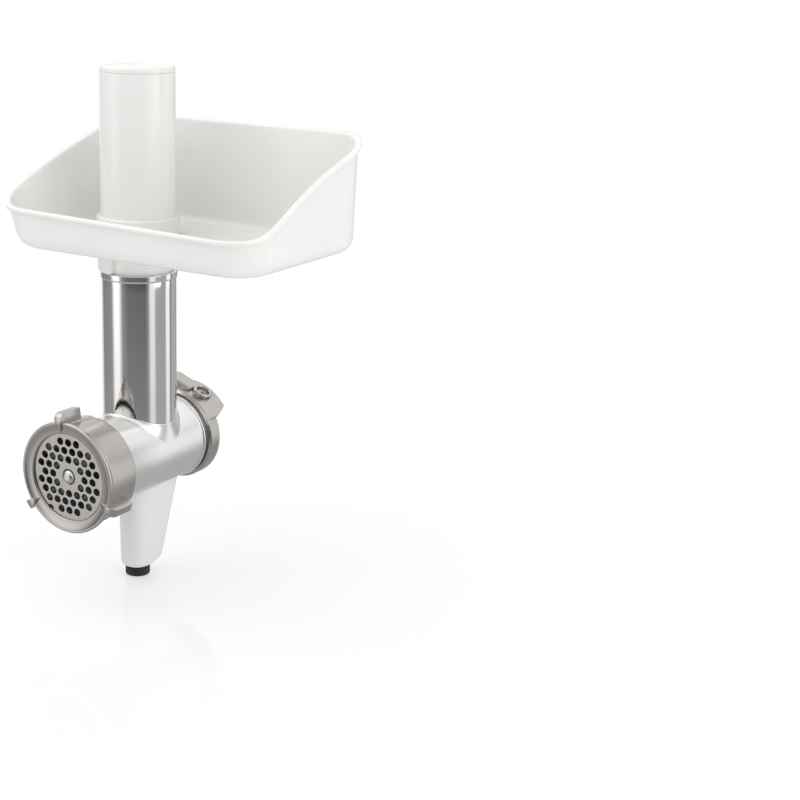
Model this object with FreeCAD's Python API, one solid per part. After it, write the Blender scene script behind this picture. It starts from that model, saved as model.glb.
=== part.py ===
"""Meat mincer attachment for a kitchen machine, in millimetres.

The origin is the centre of the rear coupling's mouth. +Y points back into the machine, -Y is the
front where the hole plate is, +X is the side that the tray reaches out to, and +Z is up.
Shapes are drawn about the feed tube's axis and moved back to the coupling when they are written.
"""
import FreeCAD
import Part
import math
import os

V = FreeCAD.Vector

# ---- clearances
GAP = 0.3            # between bodies that move apart
RUN = 0.05           # radial, shaft in its bush
SLIP = 0.5           # radial, tray spigot in the feed tube

# ---- barrel, along Y
BARREL_R = 28.0
BARREL_WALL = 1.8
BARREL_BACK = 35.0           # back face of the end wall
END_WALL = 3.0
BEAD_R = BARREL_R + 1.0
BEAD_LENGTH = 1.6
FLARE_START = -14.0          # the barrel widens from here towards the thread collar
FLARE_R = BARREL_R + 2.6

# ---- thread collar at the front of the barrel
PLATE_R = BARREL_R + 1.9     # the plate is a little wider than the barrel
COLLAR_R = PLATE_R + 2.2
COLLAR_LENGTH = 18.0
SEAT_FACE = -67.3            # shoulder behind the hole plate
SEAT_DEPTH = 3.2             # how deep the plate sits in the collar
KNIFE_ROOM_R = PLATE_R - 2.7

# ---- hole plate
PLATE_T = 5.0
HOLE_R = 2.5
HOLE_PITCH = 6.5
HOLE_FROM_CENTRE = 5.4       # hole centres start this far outside the centre hole
HOLE_FROM_EDGE = 6.2         # and stop this far inside the plate's edge
STUD_R = 4.55                # the shaft's front stud, which turns in the plate
PLATE_CENTRE_R = STUD_R + 0.45
KEY_ANGLE = 237.0
KEY_R = 1.3
KEY_NOTCH_R = 2.5
KEY_CENTRE = PLATE_R - 1.15

# ---- screw ring
RING_CLEAR = 0.3
RING_WALL = 2.5
RING_LIP_T = 2.1
RING_OPEN_R = PLATE_R - 1.5
RING_RIM_R = COLLAR_R + RING_CLEAR + RING_WALL + 1.5
RING_RIM_W = 3.0
RING_BACK = SEAT_FACE + 20.2
RING_TAPER = 0.9             # the outside is this much smaller at the back
RECESS_DEPTH = 1.1
RECESS_SPAN = 34.0
LUG_COUNT = 3
LUG_FIRST = 97.5
LUG_R = COLLAR_R + RING_CLEAR + RING_WALL + 7.3
LUG_W = 5.6
LUG_LENGTH = 16.0

# ---- knife, worm and shaft
KNIFE_T = 4.0
KNIFE_CLEAR = 0.7
KNIFE_HUB_R = 9.0
BLADE_W = 8.0
SQUARE = 9.0
SQUARE_PLAY = 0.1
STUD_OUT = 2.0               # how far the stud stands out of the plate
WORM_CLEAR = 0.8
WORM_CORE_R = 9.5
WORM_BACK = BARREL_BACK - 9.0
FLIGHT_PITCH = 27.0
FLIGHT_T = 3.6
CORE_ROD_R = 5.0
JOURNAL_R = 7.0
WASHER_T = 1.6

# ---- bush, seal and driver
BUSH_R = JOURNAL_R + 4.0
BUSH_FLANGE_R = BUSH_R + 3.5
BUSH_FLANGE_T = 2.0
SEAL_T = 2.4
DOG_R = 13.0
DOG_LENGTH = 17.0
DOG_SOCKET = 15.0            # across flats of the six-sided socket
DOG_SOCKET_DEPTH = 9.0
SCREW_R = 2.5
SCREW_HEAD_R = 4.6
SCREW_HEAD_T = 3.0

# ---- rear coupling
SPIGOT_R = BARREL_R - 1.8
COUPLING_R = BARREL_R + 3.0
COUPLING_WALL = 3.2
COUPLING_FRONT = BARREL_BACK + 2.6
COUPLING_BACK = COUPLING_FRONT + 11.0  # mouth plane, the part's origin
WEB_T = 3.0
HOOD_R = COUPLING_R + 3.2
HOOD_FRONT = COUPLING_FRONT + 2.1
HOOD_BACK = COUPLING_BACK + 9.4
HOOD_HALF_SPAN = 64.0        # either side of straight up
HOOD_CORNER = 11.0           # along the corner's cut, which goes half as far round
HOOD_HOLE_R = 4.6
HOOD_HOLE_DEPTH = 3.6
HOOD_HOLE_ANGLE = 62.0
HOOD_BOSS_R = 6.8
HOOD_BLOCK_TOP = HOOD_R + 4.7
HOOD_BLOCK_LEFT = 13.0
CLAW_COUNT = 3
CLAW_SPAN = 22.0
CLAW_HEIGHT = 2.0
CLAW_T = 3.0

# ---- feed tube, along Z
TUBE_R = 24.4
TUBE_WALL = 1.5
TUBE_TOP = 122.1
BAND_R = TUBE_R + 0.8
BAND_H = 4.5

# ---- tray
SPIGOT_WALL = 2.0
SPIGOT_DEPTH = 22.0          # below the tube's top
SEAT_R = TUBE_R + 2.1
SEAT_SIDE = -2.5             # the seat collar is on this side of x only
TRAY_UNDER = TUBE_TOP + 20.9
TRAY_WALL = 2.2
TRAY_LEFT = -50.6
TRAY_RIGHT = 138.5
TRAY_FRONT = -75.1
TRAY_REAR = 58.5
TRAY_LOFT_H = 76.4
LEAN_LEFT = 0.17
LEAN_RIGHT = 0.025
LEAN_FRONT = 0.18
LEAN_REAR = 0.025
CORNER_FL = 30.0
CORNER_FR = 25.0
CORNER_RR = 28.0
CORNER_RL = 28.0
TRAY_EDGE = 9.0              # rounding between the floor and the walls, outside
RIM_OUT = 2.3
RIM_H = 3.2
RIM_HIGH = 72.4              # rim height above the underside along the rear
RIM_LEFT = (28.4, 28.4, 31.4, 35.4, 39.6, 47.9, 55.5)     # from the front back, at the two ends
RIM_RIGHT = (22.8, 22.8, 23.1, 26.4, 30.9, 43.9, 54.7)

# ---- pusher
PUSHER_PLAY = 0.6
PUSHER_FOOT = TUBE_TOP - 86.1
PUSHER_FLANGE_R = TUBE_R + 2.6
PUSHER_FLANGE_H = 12.6
PUSHER_R = TUBE_R - 0.2
PUSHER_HEIGHT = 107.0        # above the tray's underside
PUSHER_WALL = 2.2
CAP_T = 4.0
CAP_LIP = 6.0

# ---- leg and foot
LEG_TOP_FRONT = -17.5
LEG_TOP_REAR = BARREL_BACK + 3.0
LEG_TOP_Z = -BARREL_R / 2
LEG_TOP_HALF_W = 12.0
LEG_LOW_FRONT = -15.5
LEG_LOW_REAR = 16.0
LEG_LOW_Z = -BARREL_R - 51.0
LEG_LOW_HALF_W = 10.5
LEG_BASE_Z = -BARREL_R - 53.4
LEG_BASE_R = 9.4
LEG_WALL = 2.4
FOOT_R = 8.3
FOOT_Y = -4.0
FOOT_H = 7.0
FOOT_STEM_R = 3.2
FOOT_STEM_H = 4.0
LEG_STUD_R = 5.0
LEG_STUD_H = 26.0
LEG_SCREW_R = 2.0
LEG_HEAD_R = 3.8
LEG_HEAD_T = 2.6

parts = {}


# ---- helpers
def cyl_y(r, y0, y1, x=0.0, z=0.0):
    """A cylinder along Y from y0 to y1."""
    return Part.makeCylinder(r, y1 - y0, V(x, y0, z), V(0, 1, 0))


def cyl_z(r, z0, z1, x=0.0, y=0.0):
    """A cylinder along Z from z0 to z1."""
    return Part.makeCylinder(r, z1 - z0, V(x, y, z0), V(0, 0, 1))


def tube_y(ro, ri, y0, y1):
    """A ring along Y."""
    return cyl_y(ro, y0, y1).cut(cyl_y(ri, y0 - 1, y1 + 1))


def tube_z(ro, ri, z0, z1):
    """A ring along Z."""
    return cyl_z(ro, z0, z1).cut(cyl_z(ri, z0 - 1, z1 + 1))


def box(x0, x1, y0, y1, z0, z1):
    """A box between two corners."""
    return Part.makeBox(x1 - x0, y1 - y0, z1 - z0, V(x0, y0, z0))


def turn_y(points):
    """A solid of revolution about Y from (radius, y) points."""
    wire = Part.makePolygon([V(r, y, 0) for r, y in points] + [V(points[0][0], points[0][1], 0)])
    return Part.Face(wire).revolve(V(0, 0, 0), V(0, 1, 0), 360)


def at_angle(shape, degrees):
    """The shape turned about Y, so that it stands at an angle from +X towards +Z."""
    out = shape.copy()
    out.rotate(V(0, 0, 0), V(0, 1, 0), -degrees)
    return out


def sector_y(ro, ri, y0, y1, a0, a1):
    """A piece of a ring along Y between two angles from +X towards +Z."""
    points = [V(0, y0, 0)]
    steps = max(2, int(math.ceil((a1 - a0) / 30.0)))
    for i in range(steps + 1):
        a = math.radians(a0 + (a1 - a0) * i / steps)
        points.append(V(2 * ro * math.cos(a), y0, 2 * ro * math.sin(a)))
    wedge = Part.Face(Part.makePolygon(points + [points[0]])).extrude(V(0, y1 - y0, 0))
    return tube_y(ro, ri, y0, y1).common(wedge)


def round_rect(x0, x1, y0, y1, z, radii):
    """A closed wire: a rectangle at height z with its own radius at FL, FR, RR and RL."""
    fl, fr, rr, rl = radii
    s = math.sqrt(0.5)

    def arc(cx, cy, r, ax, ay, mx, my, bx, by):
        return Part.Arc(V(cx + r * ax, cy + r * ay, z), V(cx + r * mx, cy + r * my, z),
                        V(cx + r * bx, cy + r * by, z)).toShape()

    edges = [
        Part.makeLine(V(x0 + fl, y0, z), V(x1 - fr, y0, z)),
        arc(x1 - fr, y0 + fr, fr, 0, -1, s, -s, 1, 0),
        Part.makeLine(V(x1, y0 + fr, z), V(x1, y1 - rr, z)),
        arc(x1 - rr, y1 - rr, rr, 1, 0, s, s, 0, 1),
        Part.makeLine(V(x1 - rr, y1, z), V(x0 + rl, y1, z)),
        arc(x0 + rl, y1 - rl, rl, 0, 1, -s, s, -1, 0),
        Part.makeLine(V(x0, y1 - rl, z), V(x0, y0 + fl, z)),
        arc(x0 + fl, y0 + fl, fl, -1, 0, -s, -s, 0, -1),
    ]
    return Part.Wire(edges)


def basin(inset, z0):
    """The tray's outside drawn in by inset, from z0 up past the rim, with its bottom edge rounded."""
    corners = (CORNER_FL, CORNER_FR, CORNER_RR, CORNER_RL)
    radii = [max(r - inset, 2.0) for r in corners]
    wires = []
    for z in (z0, TRAY_UNDER + TRAY_LOFT_H):
        h = z - TRAY_UNDER
        wires.append(round_rect(TRAY_LEFT - LEAN_LEFT * h + inset, TRAY_RIGHT + LEAN_RIGHT * h - inset,
                                TRAY_FRONT - LEAN_FRONT * h + inset, TRAY_REAR + LEAN_REAR * h - inset,
                                z, radii))
    solid = Part.makeLoft(wires, True, True)
    if inset < 0:
        return solid
    low = [e for e in solid.Edges if abs(e.BoundBox.ZMax - z0) < 0.01]
    return solid.makeFillet(TRAY_EDGE - inset, low)


def rim_space(drop):
    """Everything above the tray's rim line, lowered by drop."""
    ys = (TRAY_FRONT - 40, TRAY_FRONT, TRAY_FRONT + 9.5, TRAY_FRONT + 20.5, TRAY_FRONT + 30.5,
          TRAY_REAR - 78.5, TRAY_REAR - 53.5, TRAY_REAR - 28.5, TRAY_REAR, TRAY_REAR + 25)
    wires = []
    for x, rise in ((TRAY_LEFT - 40, RIM_LEFT), (TRAY_RIGHT + 40, RIM_RIGHT)):
        rise = rise + (RIM_HIGH - 9.4, RIM_HIGH, RIM_HIGH)
        pts = [V(x, y, TRAY_UNDER + h - drop) for y, h in zip(ys, rise)]
        curve = Part.BSplineCurve()
        curve.interpolate(pts)
        top = TRAY_UNDER + RIM_HIGH + 60
        edges = [curve.toShape(), Part.makeLine(pts[-1], V(x, pts[-1].y, top)),
                 Part.makeLine(V(x, pts[-1].y, top), V(x, pts[0].y, top)),
                 Part.makeLine(V(x, pts[0].y, top), pts[0])]
        wires.append(Part.Wire(edges))
    return Part.makeLoft(wires, True, True)


def square_y(side, y0, y1):
    """A square bar along Y."""
    return box(-side / 2, side / 2, y0, y1, -side / 2, side / 2)


def hexagon_y(flats, y0, y1):
    """A six-sided bar along Y."""
    r = flats / math.sqrt(3.0)
    pts = [V(r * math.cos(math.radians(60 * i)), y0, r * math.sin(math.radians(60 * i))) for i in range(6)]
    return Part.Face(Part.makePolygon(pts + [pts[0]])).extrude(V(0, y1 - y0, 0))


# ---- barrel: a tube with an end wall, a bead, a rear spigot and the feed opening
bore_r = BARREL_R - BARREL_WALL
tube_bore_r = TUBE_R - TUBE_WALL
collar_front = SEAT_FACE - SEAT_DEPTH
collar_back = collar_front + COLLAR_LENGTH
outer = turn_y([(0, collar_back), (FLARE_R, collar_back), (BARREL_R, FLARE_START),
                (BARREL_R, BARREL_BACK - BEAD_LENGTH), (BEAD_R, BARREL_BACK - BEAD_LENGTH + 0.4),
                (BEAD_R, BARREL_BACK - 0.4), (BARREL_R, BARREL_BACK), (SPIGOT_R, BARREL_BACK),
                (SPIGOT_R, COUPLING_FRONT + WEB_T), (0, COUPLING_FRONT + WEB_T)])
cavity = cyl_y(bore_r, collar_back - 1, BARREL_BACK - END_WALL)
socket = cyl_y(SPIGOT_R - BARREL_WALL, BARREL_BACK, COUPLING_FRONT + WEB_T + 1)
barrel = outer.cut(cavity).cut(socket).cut(cyl_y(BUSH_R, BARREL_BACK - 10, BARREL_BACK + 10))
barrel = barrel.cut(cyl_z(tube_bore_r, 0, BARREL_R + 20))
parts["barrel"] = barrel

# ---- feed tube, cut to sit on the barrel, and its rim band
tube = tube_z(TUBE_R, tube_bore_r, 5, TUBE_TOP).cut(outer)
parts["feed_tube"] = tube
band = tube_z(BAND_R, TUBE_R, TUBE_TOP - BAND_H, TUBE_TOP)
outside = [e for e in band.Edges if len(e.Vertexes) == 1 and abs(e.Curve.Radius - BAND_R) < 0.01]
parts["rim_band"] = band.makeFillet(0.5, outside)

# ---- thread collar with the plate's seat and the knife room
collar = turn_y([(bore_r, collar_back), (bore_r, SEAT_FACE + 9), (KNIFE_ROOM_R, SEAT_FACE + 8),
                 (KNIFE_ROOM_R, SEAT_FACE), (PLATE_R + GAP, SEAT_FACE), (PLATE_R + GAP, collar_front),
                 (COLLAR_R - 0.6, collar_front), (COLLAR_R, collar_front + 0.6),
                 (COLLAR_R, collar_back - 1.5), (FLARE_R, collar_back)])
parts["thread_collar"] = collar

# ---- plate key, a pin that stands on the seat
key_x = KEY_CENTRE * math.cos(math.radians(KEY_ANGLE))
key_z = KEY_CENTRE * math.sin(math.radians(KEY_ANGLE))
parts["plate_key"] = cyl_y(KEY_R, SEAT_FACE - 2.6, SEAT_FACE, key_x, key_z)

# ---- hole plate
plate_back = SEAT_FACE - GAP
plate_front = plate_back - PLATE_T
plate = cyl_y(PLATE_R, plate_front, plate_back)
plate = plate.makeChamfer(0.4, [e for e in plate.Edges if len(e.Vertexes) == 1 and e.Closed])
row_height = HOLE_PITCH * math.sqrt(3.0) / 2
rows = int(PLATE_R / row_height)
drills = [cyl_y(PLATE_CENTRE_R, plate_front - 1, plate_back + 1)]
for j in range(-rows, rows + 1):
    for i in range(-rows - 1, rows + 2):
        px = HOLE_PITCH * (i + (0.5 if j % 2 else 0.0))
        pz = row_height * j
        if PLATE_CENTRE_R + HOLE_FROM_CENTRE < math.hypot(px, pz) < PLATE_R - HOLE_FROM_EDGE:
            drills.append(cyl_y(HOLE_R, plate_front - 1, plate_back + 1, px, pz))
drills.append(cyl_y(KEY_NOTCH_R, plate_front - 1, plate_back + 1, key_x, key_z))
plate = plate.cut(Part.makeCompound(drills))
parts["hole_plate"] = plate

# ---- screw ring
lip_back = plate_front - GAP
ring_front = lip_back - RING_LIP_T - 0.4
ring_bore = COLLAR_R + RING_CLEAR
ring_r = ring_bore + RING_WALL
ring = turn_y([(ring_bore, RING_BACK), (ring_bore, lip_back), (RING_OPEN_R, lip_back),
               (RING_OPEN_R, lip_back - 0.8), (RING_OPEN_R + 1.2, lip_back - RING_LIP_T + 0.5),
               (RING_RIM_R - 2.6, ring_front + 0.9), (RING_RIM_R - 1.8, ring_front),
               (RING_RIM_R - 0.7, ring_front), (RING_RIM_R, ring_front + 0.8),
               (RING_RIM_R, ring_front + RING_RIM_W - 0.6), (RING_RIM_R - 0.7, ring_front + RING_RIM_W),
               (ring_r - 0.8, ring_front + RING_RIM_W + 0.5), (ring_r, ring_front + RING_RIM_W + 1.3),
               (ring_r - RING_TAPER, RING_BACK - 0.6), (ring_r - RING_TAPER - 0.6, RING_BACK)])
lugs = []
for k in range(LUG_COUNT):
    angle = LUG_FIRST + 360.0 / LUG_COUNT * k
    recess = sector_y(ring_r + 3, ring_r - RECESS_DEPTH, ring_front + RING_RIM_W + 1.3, RING_BACK + 1,
                      angle - 6 - RECESS_SPAN, angle - 6)
    ring = ring.cut(recess)
    lug_back = ring_front + 2.0 + LUG_LENGTH
    rib = box(ring_bore + 0.8, LUG_R - LUG_W / 2, ring_front + 2.0, lug_back, -LUG_W / 2, LUG_W / 2)
    rib = rib.fuse(cyl_y(LUG_W / 2, ring_front + 2.0, lug_back, LUG_R - LUG_W / 2, 0))
    nose = Part.Face(Part.makePolygon([
        V(LUG_R - 1.2, ring_front + 2.0, 0), V(LUG_R - 3.0, ring_front - 0.6, 0),
        V(ring_bore + 1.0, ring_front - 1.0, 0), V(RING_OPEN_R + 1.2, lip_back - 1.2, 0),
        V(ring_bore + 1.0, ring_front + 2.0, 0), V(LUG_R - 1.2, ring_front + 2.0, 0)]))
    nose.translate(V(0, 0, -LUG_W * 0.3))
    lugs.append(at_angle(rib.fuse(nose.extrude(V(0, 0, LUG_W * 0.6))), angle))
ring = ring.fuse(lugs).cut(cyl_y(ring_bore, lip_back, RING_BACK + 5)).removeSplitter()
parts["screw_ring"] = ring

# ---- knife: hub and four blades with their leading faces cut back
knife_front = SEAT_FACE + 0.3
knife_back = knife_front + KNIFE_T
knife_r = KNIFE_ROOM_R - KNIFE_CLEAR
knife = cyl_y(KNIFE_HUB_R, knife_front, knife_back + 1.5)
for k in range(4):
    blade = Part.Face(Part.makePolygon([
        V(0, knife_front, -BLADE_W / 2), V(0, knife_front, BLADE_W / 2),
        V(0, knife_back, BLADE_W / 2 - 2.4), V(0, knife_back, -BLADE_W / 2),
        V(0, knife_front, -BLADE_W / 2),
    ])).extrude(V(knife_r - 0.5, 0, 0))
    knife = knife.fuse(at_angle(blade, 45 + 90 * k))
knife = knife.common(cyl_y(knife_r, knife_front, knife_back + 5))
knife = knife.cut(square_y(SQUARE + 2 * SQUARE_PLAY, knife_front - 5, knife_back + 5)).removeSplitter()
parts["knife"] = knife

# ---- worm: a core with one flight wound round it
worm_front = knife_back + 1.5 + 0.5
worm_r = bore_r - WORM_CLEAR
core = turn_y([(0, worm_front), (WORM_CORE_R - 1.5, worm_front), (WORM_CORE_R, worm_front + 3),
               (WORM_CORE_R, WORM_BACK), (0, WORM_BACK)])
flight_front = worm_front + 2.0
helix = Part.makeHelix(FLIGHT_PITCH, WORM_BACK - 3.0 - flight_front - FLIGHT_T, worm_r)
helix.rotate(V(0, 0, 0), V(1, 0, 0), -90)
helix.translate(V(0, flight_front + FLIGHT_T / 2, 0))
inner = WORM_CORE_R - 1.5
profile = Part.makePolygon([
    V(inner, -FLIGHT_T * 0.65, 0), V(worm_r, -FLIGHT_T * 0.35, 0), V(worm_r, FLIGHT_T * 0.35, 0),
    V(inner, FLIGHT_T * 0.65, 0), V(inner, -FLIGHT_T * 0.65, 0)])
profile.translate(V(0, flight_front + FLIGHT_T / 2, 0))
flight = Part.Wire(helix.Edges).makePipeShell([profile], True, True)
back_disc = turn_y([(0, WORM_BACK - 3), (worm_r - 1, WORM_BACK - 3), (worm_r, WORM_BACK - 2),
                    (worm_r, WORM_BACK), (0, WORM_BACK)])
rod_room = cyl_y(CORE_ROD_R, worm_front - 1, WORM_BACK + 1)
worm = core.fuse([flight, back_disc]).cut(rod_room)
parts["worm"] = worm

# ---- shaft: rounded stud, square for the knife, rod through the worm, journal and rear square
dog_front = COUPLING_FRONT + WEB_T + 1.0
dog_back = dog_front + DOG_LENGTH
shaft_back = dog_back - DOG_SOCKET_DEPTH - 0.8
stud_front = plate_front - STUD_OUT
stud = cyl_y(STUD_R, stud_front, knife_front + 0.2)
stud = stud.makeFillet(STUD_R * 0.6, [e for e in stud.Edges
                                      if e.Closed and abs(e.BoundBox.YMax - stud_front) < 0.01])
shaft = stud.fuse([square_y(SQUARE, knife_front + 0.1, worm_front),
                   cyl_y(CORE_ROD_R, worm_front, WORM_BACK), cyl_y(JOURNAL_R, WORM_BACK, dog_front),
                   square_y(SQUARE, dog_front - 0.1, shaft_back)])
screw_len = 10.0
shaft = shaft.cut(cyl_y(SCREW_R, shaft_back - screw_len, shaft_back + 1)).removeSplitter()
parts["worm_shaft"] = shaft

# ---- thrust washer, bush and seal
bush_front = BARREL_BACK - END_WALL - BUSH_FLANGE_T
parts["thrust_washer"] = tube_y(BUSH_FLANGE_R - 1, JOURNAL_R + 0.2, WORM_BACK, WORM_BACK + WASHER_T)
bush = tube_y(BUSH_R, JOURNAL_R + RUN, bush_front, BARREL_BACK + 1.0)
flange = tube_y(BUSH_FLANGE_R, JOURNAL_R + RUN, bush_front, bush_front + BUSH_FLANGE_T)
parts["bush"] = bush.fuse(flange).removeSplitter()
seal_front = BARREL_BACK + 1.0
parts["shaft_seal"] = tube_y(BUSH_R + 1.5, JOURNAL_R + 0.35, seal_front, seal_front + SEAL_T)

# ---- driver with its screw and washer
dog = cyl_y(DOG_R, dog_front, dog_back)
dog = dog.makeChamfer(0.8, [e for e in dog.Edges if e.Closed and len(e.Vertexes) == 1])
for k in range(6):
    dog = dog.cut(at_angle(cyl_y(2.0, dog_front + 5, dog_back + 1, DOG_R + 0.7, 0), 30 + 60 * k))
dog = dog.cut(square_y(SQUARE + 2 * SQUARE_PLAY, dog_front - 1, shaft_back))
dog = dog.cut(cyl_y(SCREW_R + 0.3, shaft_back - 1, dog_back))
dog = dog.cut(hexagon_y(DOG_SOCKET, dog_back - DOG_SOCKET_DEPTH, dog_back + 1))
parts["drive_dog"] = dog
washer_y = dog_back - DOG_SOCKET_DEPTH
parts["dog_washer"] = tube_y(SCREW_HEAD_R + 1.0, SCREW_R + 0.1, washer_y, washer_y + 1.0)
head = cyl_y(SCREW_HEAD_R, washer_y + 1.0, washer_y + 1.0 + SCREW_HEAD_T)
head = head.cut(hexagon_y(4.0, washer_y + 2.2, washer_y + 10))
parts["dog_screw"] = head.fuse(cyl_y(SCREW_R, shaft_back - screw_len + 1, washer_y + 1.0)).removeSplitter()

# ---- coupling ring: web on the spigot, outer band, hood and inner claws
ring_in = COUPLING_R - COUPLING_WALL
coupling = turn_y([(SPIGOT_R, COUPLING_FRONT), (COUPLING_R - 1.6, COUPLING_FRONT),
                   (COUPLING_R, COUPLING_FRONT + 1.6), (COUPLING_R, COUPLING_BACK - 0.8),
                   (COUPLING_R - 0.8, COUPLING_BACK), (ring_in, COUPLING_BACK),
                   (ring_in, COUPLING_FRONT + WEB_T), (SPIGOT_R, COUPLING_FRONT + WEB_T)])
hood = turn_y([(ring_in, HOOD_FRONT), (COUPLING_R + 0.2, HOOD_FRONT), (HOOD_R, HOOD_BACK - 4.0),
               (HOOD_R, HOOD_BACK - 0.6), (HOOD_R - 0.6, HOOD_BACK), (ring_in, HOOD_BACK)])
hood = hood.common(sector_y(HOOD_R + 5, ring_in - 5, HOOD_FRONT - 1, HOOD_BACK + 1,
                            90 - HOOD_HALF_SPAN, 90 + HOOD_HALF_SPAN))
block_x = HOOD_R * math.cos(math.radians(74))
block_z = (COUPLING_R + HOOD_R) / 2
block = Part.Face(Part.makePolygon([
    V(block_x, HOOD_FRONT + 3, HOOD_R * math.sin(math.radians(74))), V(-7, HOOD_FRONT + 3, HOOD_BLOCK_TOP),
    V(-HOOD_BLOCK_LEFT, HOOD_FRONT + 3, HOOD_BLOCK_TOP), V(-HOOD_BLOCK_LEFT - 3, HOOD_FRONT + 3, block_z - 4),
    V(block_x - 1, HOOD_FRONT + 3, block_z - 4),
    V(block_x, HOOD_FRONT + 3, HOOD_R * math.sin(math.radians(74)))]))
hood = hood.fuse(block.extrude(V(0, HOOD_BACK - HOOD_FRONT - 6, 0)))
hole_y = (HOOD_FRONT + HOOD_BACK) / 2
boss_low = COUPLING_R - 1.5
boss = Part.makeCylinder(HOOD_BOSS_R, HOOD_R + 1.0 - boss_low, V(boss_low, hole_y, 0), V(1, 0, 0))
hood = hood.fuse(at_angle(boss, HOOD_HOLE_ANGLE))
pocket = Part.makeCylinder(HOOD_HOLE_R, 30, V(HOOD_R + 1.0 - HOOD_HOLE_DEPTH, hole_y, 0), V(1, 0, 0))
hood = hood.cut(at_angle(pocket, HOOD_HOLE_ANGLE))
for side in (1, -1):
    corner = Part.Face(Part.makePolygon([
        V(0, HOOD_BACK - HOOD_CORNER, 0), V(0, HOOD_BACK + 1, side * (HOOD_CORNER + 1) / 2),
        V(0, HOOD_BACK + 1, -side * HOOD_CORNER), V(0, HOOD_BACK - HOOD_CORNER, -side * HOOD_CORNER),
        V(0, HOOD_BACK - HOOD_CORNER, 0)])).extrude(V(HOOD_R + 5, 0, 0))
    hood = hood.cut(at_angle(corner, 90 - side * HOOD_HALF_SPAN))
coupling = coupling.fuse(hood)
for k in range(CLAW_COUNT):
    mid = 90 + 360.0 / CLAW_COUNT * k
    claw = sector_y(ring_in + 0.5, ring_in - CLAW_HEIGHT, COUPLING_BACK - CLAW_T, COUPLING_BACK,
                    mid - CLAW_SPAN / 2, mid + CLAW_SPAN / 2)
    coupling = coupling.fuse(claw)
parts["coupling_ring"] = coupling.removeSplitter()

# ---- tray
spigot_r = tube_bore_r - SLIP
throat_r = spigot_r - SPIGOT_WALL
floor_z = TRAY_UNDER + TRAY_WALL
shell = basin(0, TRAY_UNDER).cut(basin(TRAY_WALL, floor_z)).cut(rim_space(0))
bead = basin(-RIM_OUT, TRAY_UNDER + 8).cut(basin(TRAY_WALL, floor_z))
bead = bead.cut(rim_space(0)).common(rim_space(RIM_H))
seat = tube_z(SEAT_R, spigot_r - 0.5, TUBE_TOP + GAP, TRAY_UNDER + 0.5)
seat = seat.common(box(-50, SEAT_SIDE, -50, 50, TUBE_TOP - 5, TRAY_UNDER + 5))
spigot = cyl_z(spigot_r, TUBE_TOP - SPIGOT_DEPTH, TRAY_UNDER + 0.5)
tray = shell.fuse([bead, seat, spigot]).cut(cyl_z(throat_r, TUBE_TOP - SPIGOT_DEPTH - 1, floor_z + 20))
parts["tray"] = tray.removeSplitter()

# ---- pusher and cap
pusher_top = TRAY_UNDER + PUSHER_HEIGHT
push_r = throat_r - PUSHER_PLAY
flange_z = floor_z + GAP
flange_top = flange_z + PUSHER_FLANGE_H


def turn_z(points):
    """A solid of revolution about Z from (radius, z) points."""
    wire = Part.makePolygon([V(r, 0, z) for r, z in points] + [V(points[0][0], 0, points[0][1])])
    return Part.Face(wire).revolve(V(0, 0, 0), V(0, 0, 1), 360)


w = PUSHER_WALL
pusher = turn_z([(0, PUSHER_FOOT), (push_r - 1.5, PUSHER_FOOT), (push_r, PUSHER_FOOT + 1.5),
                 (push_r, flange_z),
                 (PUSHER_FLANGE_R - 0.5, flange_z), (PUSHER_FLANGE_R, flange_z + 0.5),
                 (PUSHER_FLANGE_R, flange_top - 1.0), (PUSHER_FLANGE_R - 1.0, flange_top),
                 (PUSHER_R, flange_top), (PUSHER_R, pusher_top), (PUSHER_R - w, pusher_top),
                 (PUSHER_R - w, flange_top - w),
                 (push_r - w, flange_z + w), (push_r - w, PUSHER_FOOT + w), (0, PUSHER_FOOT + w)])
parts["pusher"] = pusher
lip_r = PUSHER_R - w
cap = turn_z([(0, pusher_top), (lip_r - w, pusher_top), (lip_r - w, pusher_top - CAP_LIP),
              (lip_r, pusher_top - CAP_LIP), (lip_r, pusher_top), (PUSHER_R, pusher_top),
              (PUSHER_R, pusher_top + CAP_T - 1.5),
              (PUSHER_R - 1.5, pusher_top + CAP_T), (0, pusher_top + CAP_T)])
parts["pusher_cap"] = cap


# ---- leg: a hollow moulding that tapers to the foot
def leg_wire(front, rear, half_w, z, inset):
    """A closed long-rounded section of the leg."""
    r = half_w - inset
    y0 = front + half_w
    y1 = rear - half_w
    return Part.Wire([
        Part.Arc(V(-r, y0, z), V(0, y0 - r, z), V(r, y0, z)).toShape(),
        Part.makeLine(V(r, y0, z), V(r, y1, z)),
        Part.Arc(V(r, y1, z), V(0, y1 + r, z), V(-r, y1, z)).toShape(),
        Part.makeLine(V(-r, y1, z), V(-r, y0, z))])


def leg_solid(inset, base_z):
    """The leg's outside drawn in by inset, down to base_z."""
    top = leg_wire(LEG_TOP_FRONT, LEG_TOP_REAR, LEG_TOP_HALF_W, LEG_TOP_Z, inset)
    low = leg_wire(LEG_LOW_FRONT, LEG_LOW_REAR, LEG_LOW_HALF_W, LEG_LOW_Z, inset)
    base_front = FOOT_Y - LEG_BASE_R - 0.4
    base = leg_wire(base_front, FOOT_Y + LEG_BASE_R + 0.4, LEG_BASE_R, base_z, inset)
    upper = Part.makeLoft([top, low], True, True)
    return upper.fuse(Part.makeLoft([low, base], True, True)).removeSplitter()


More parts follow.
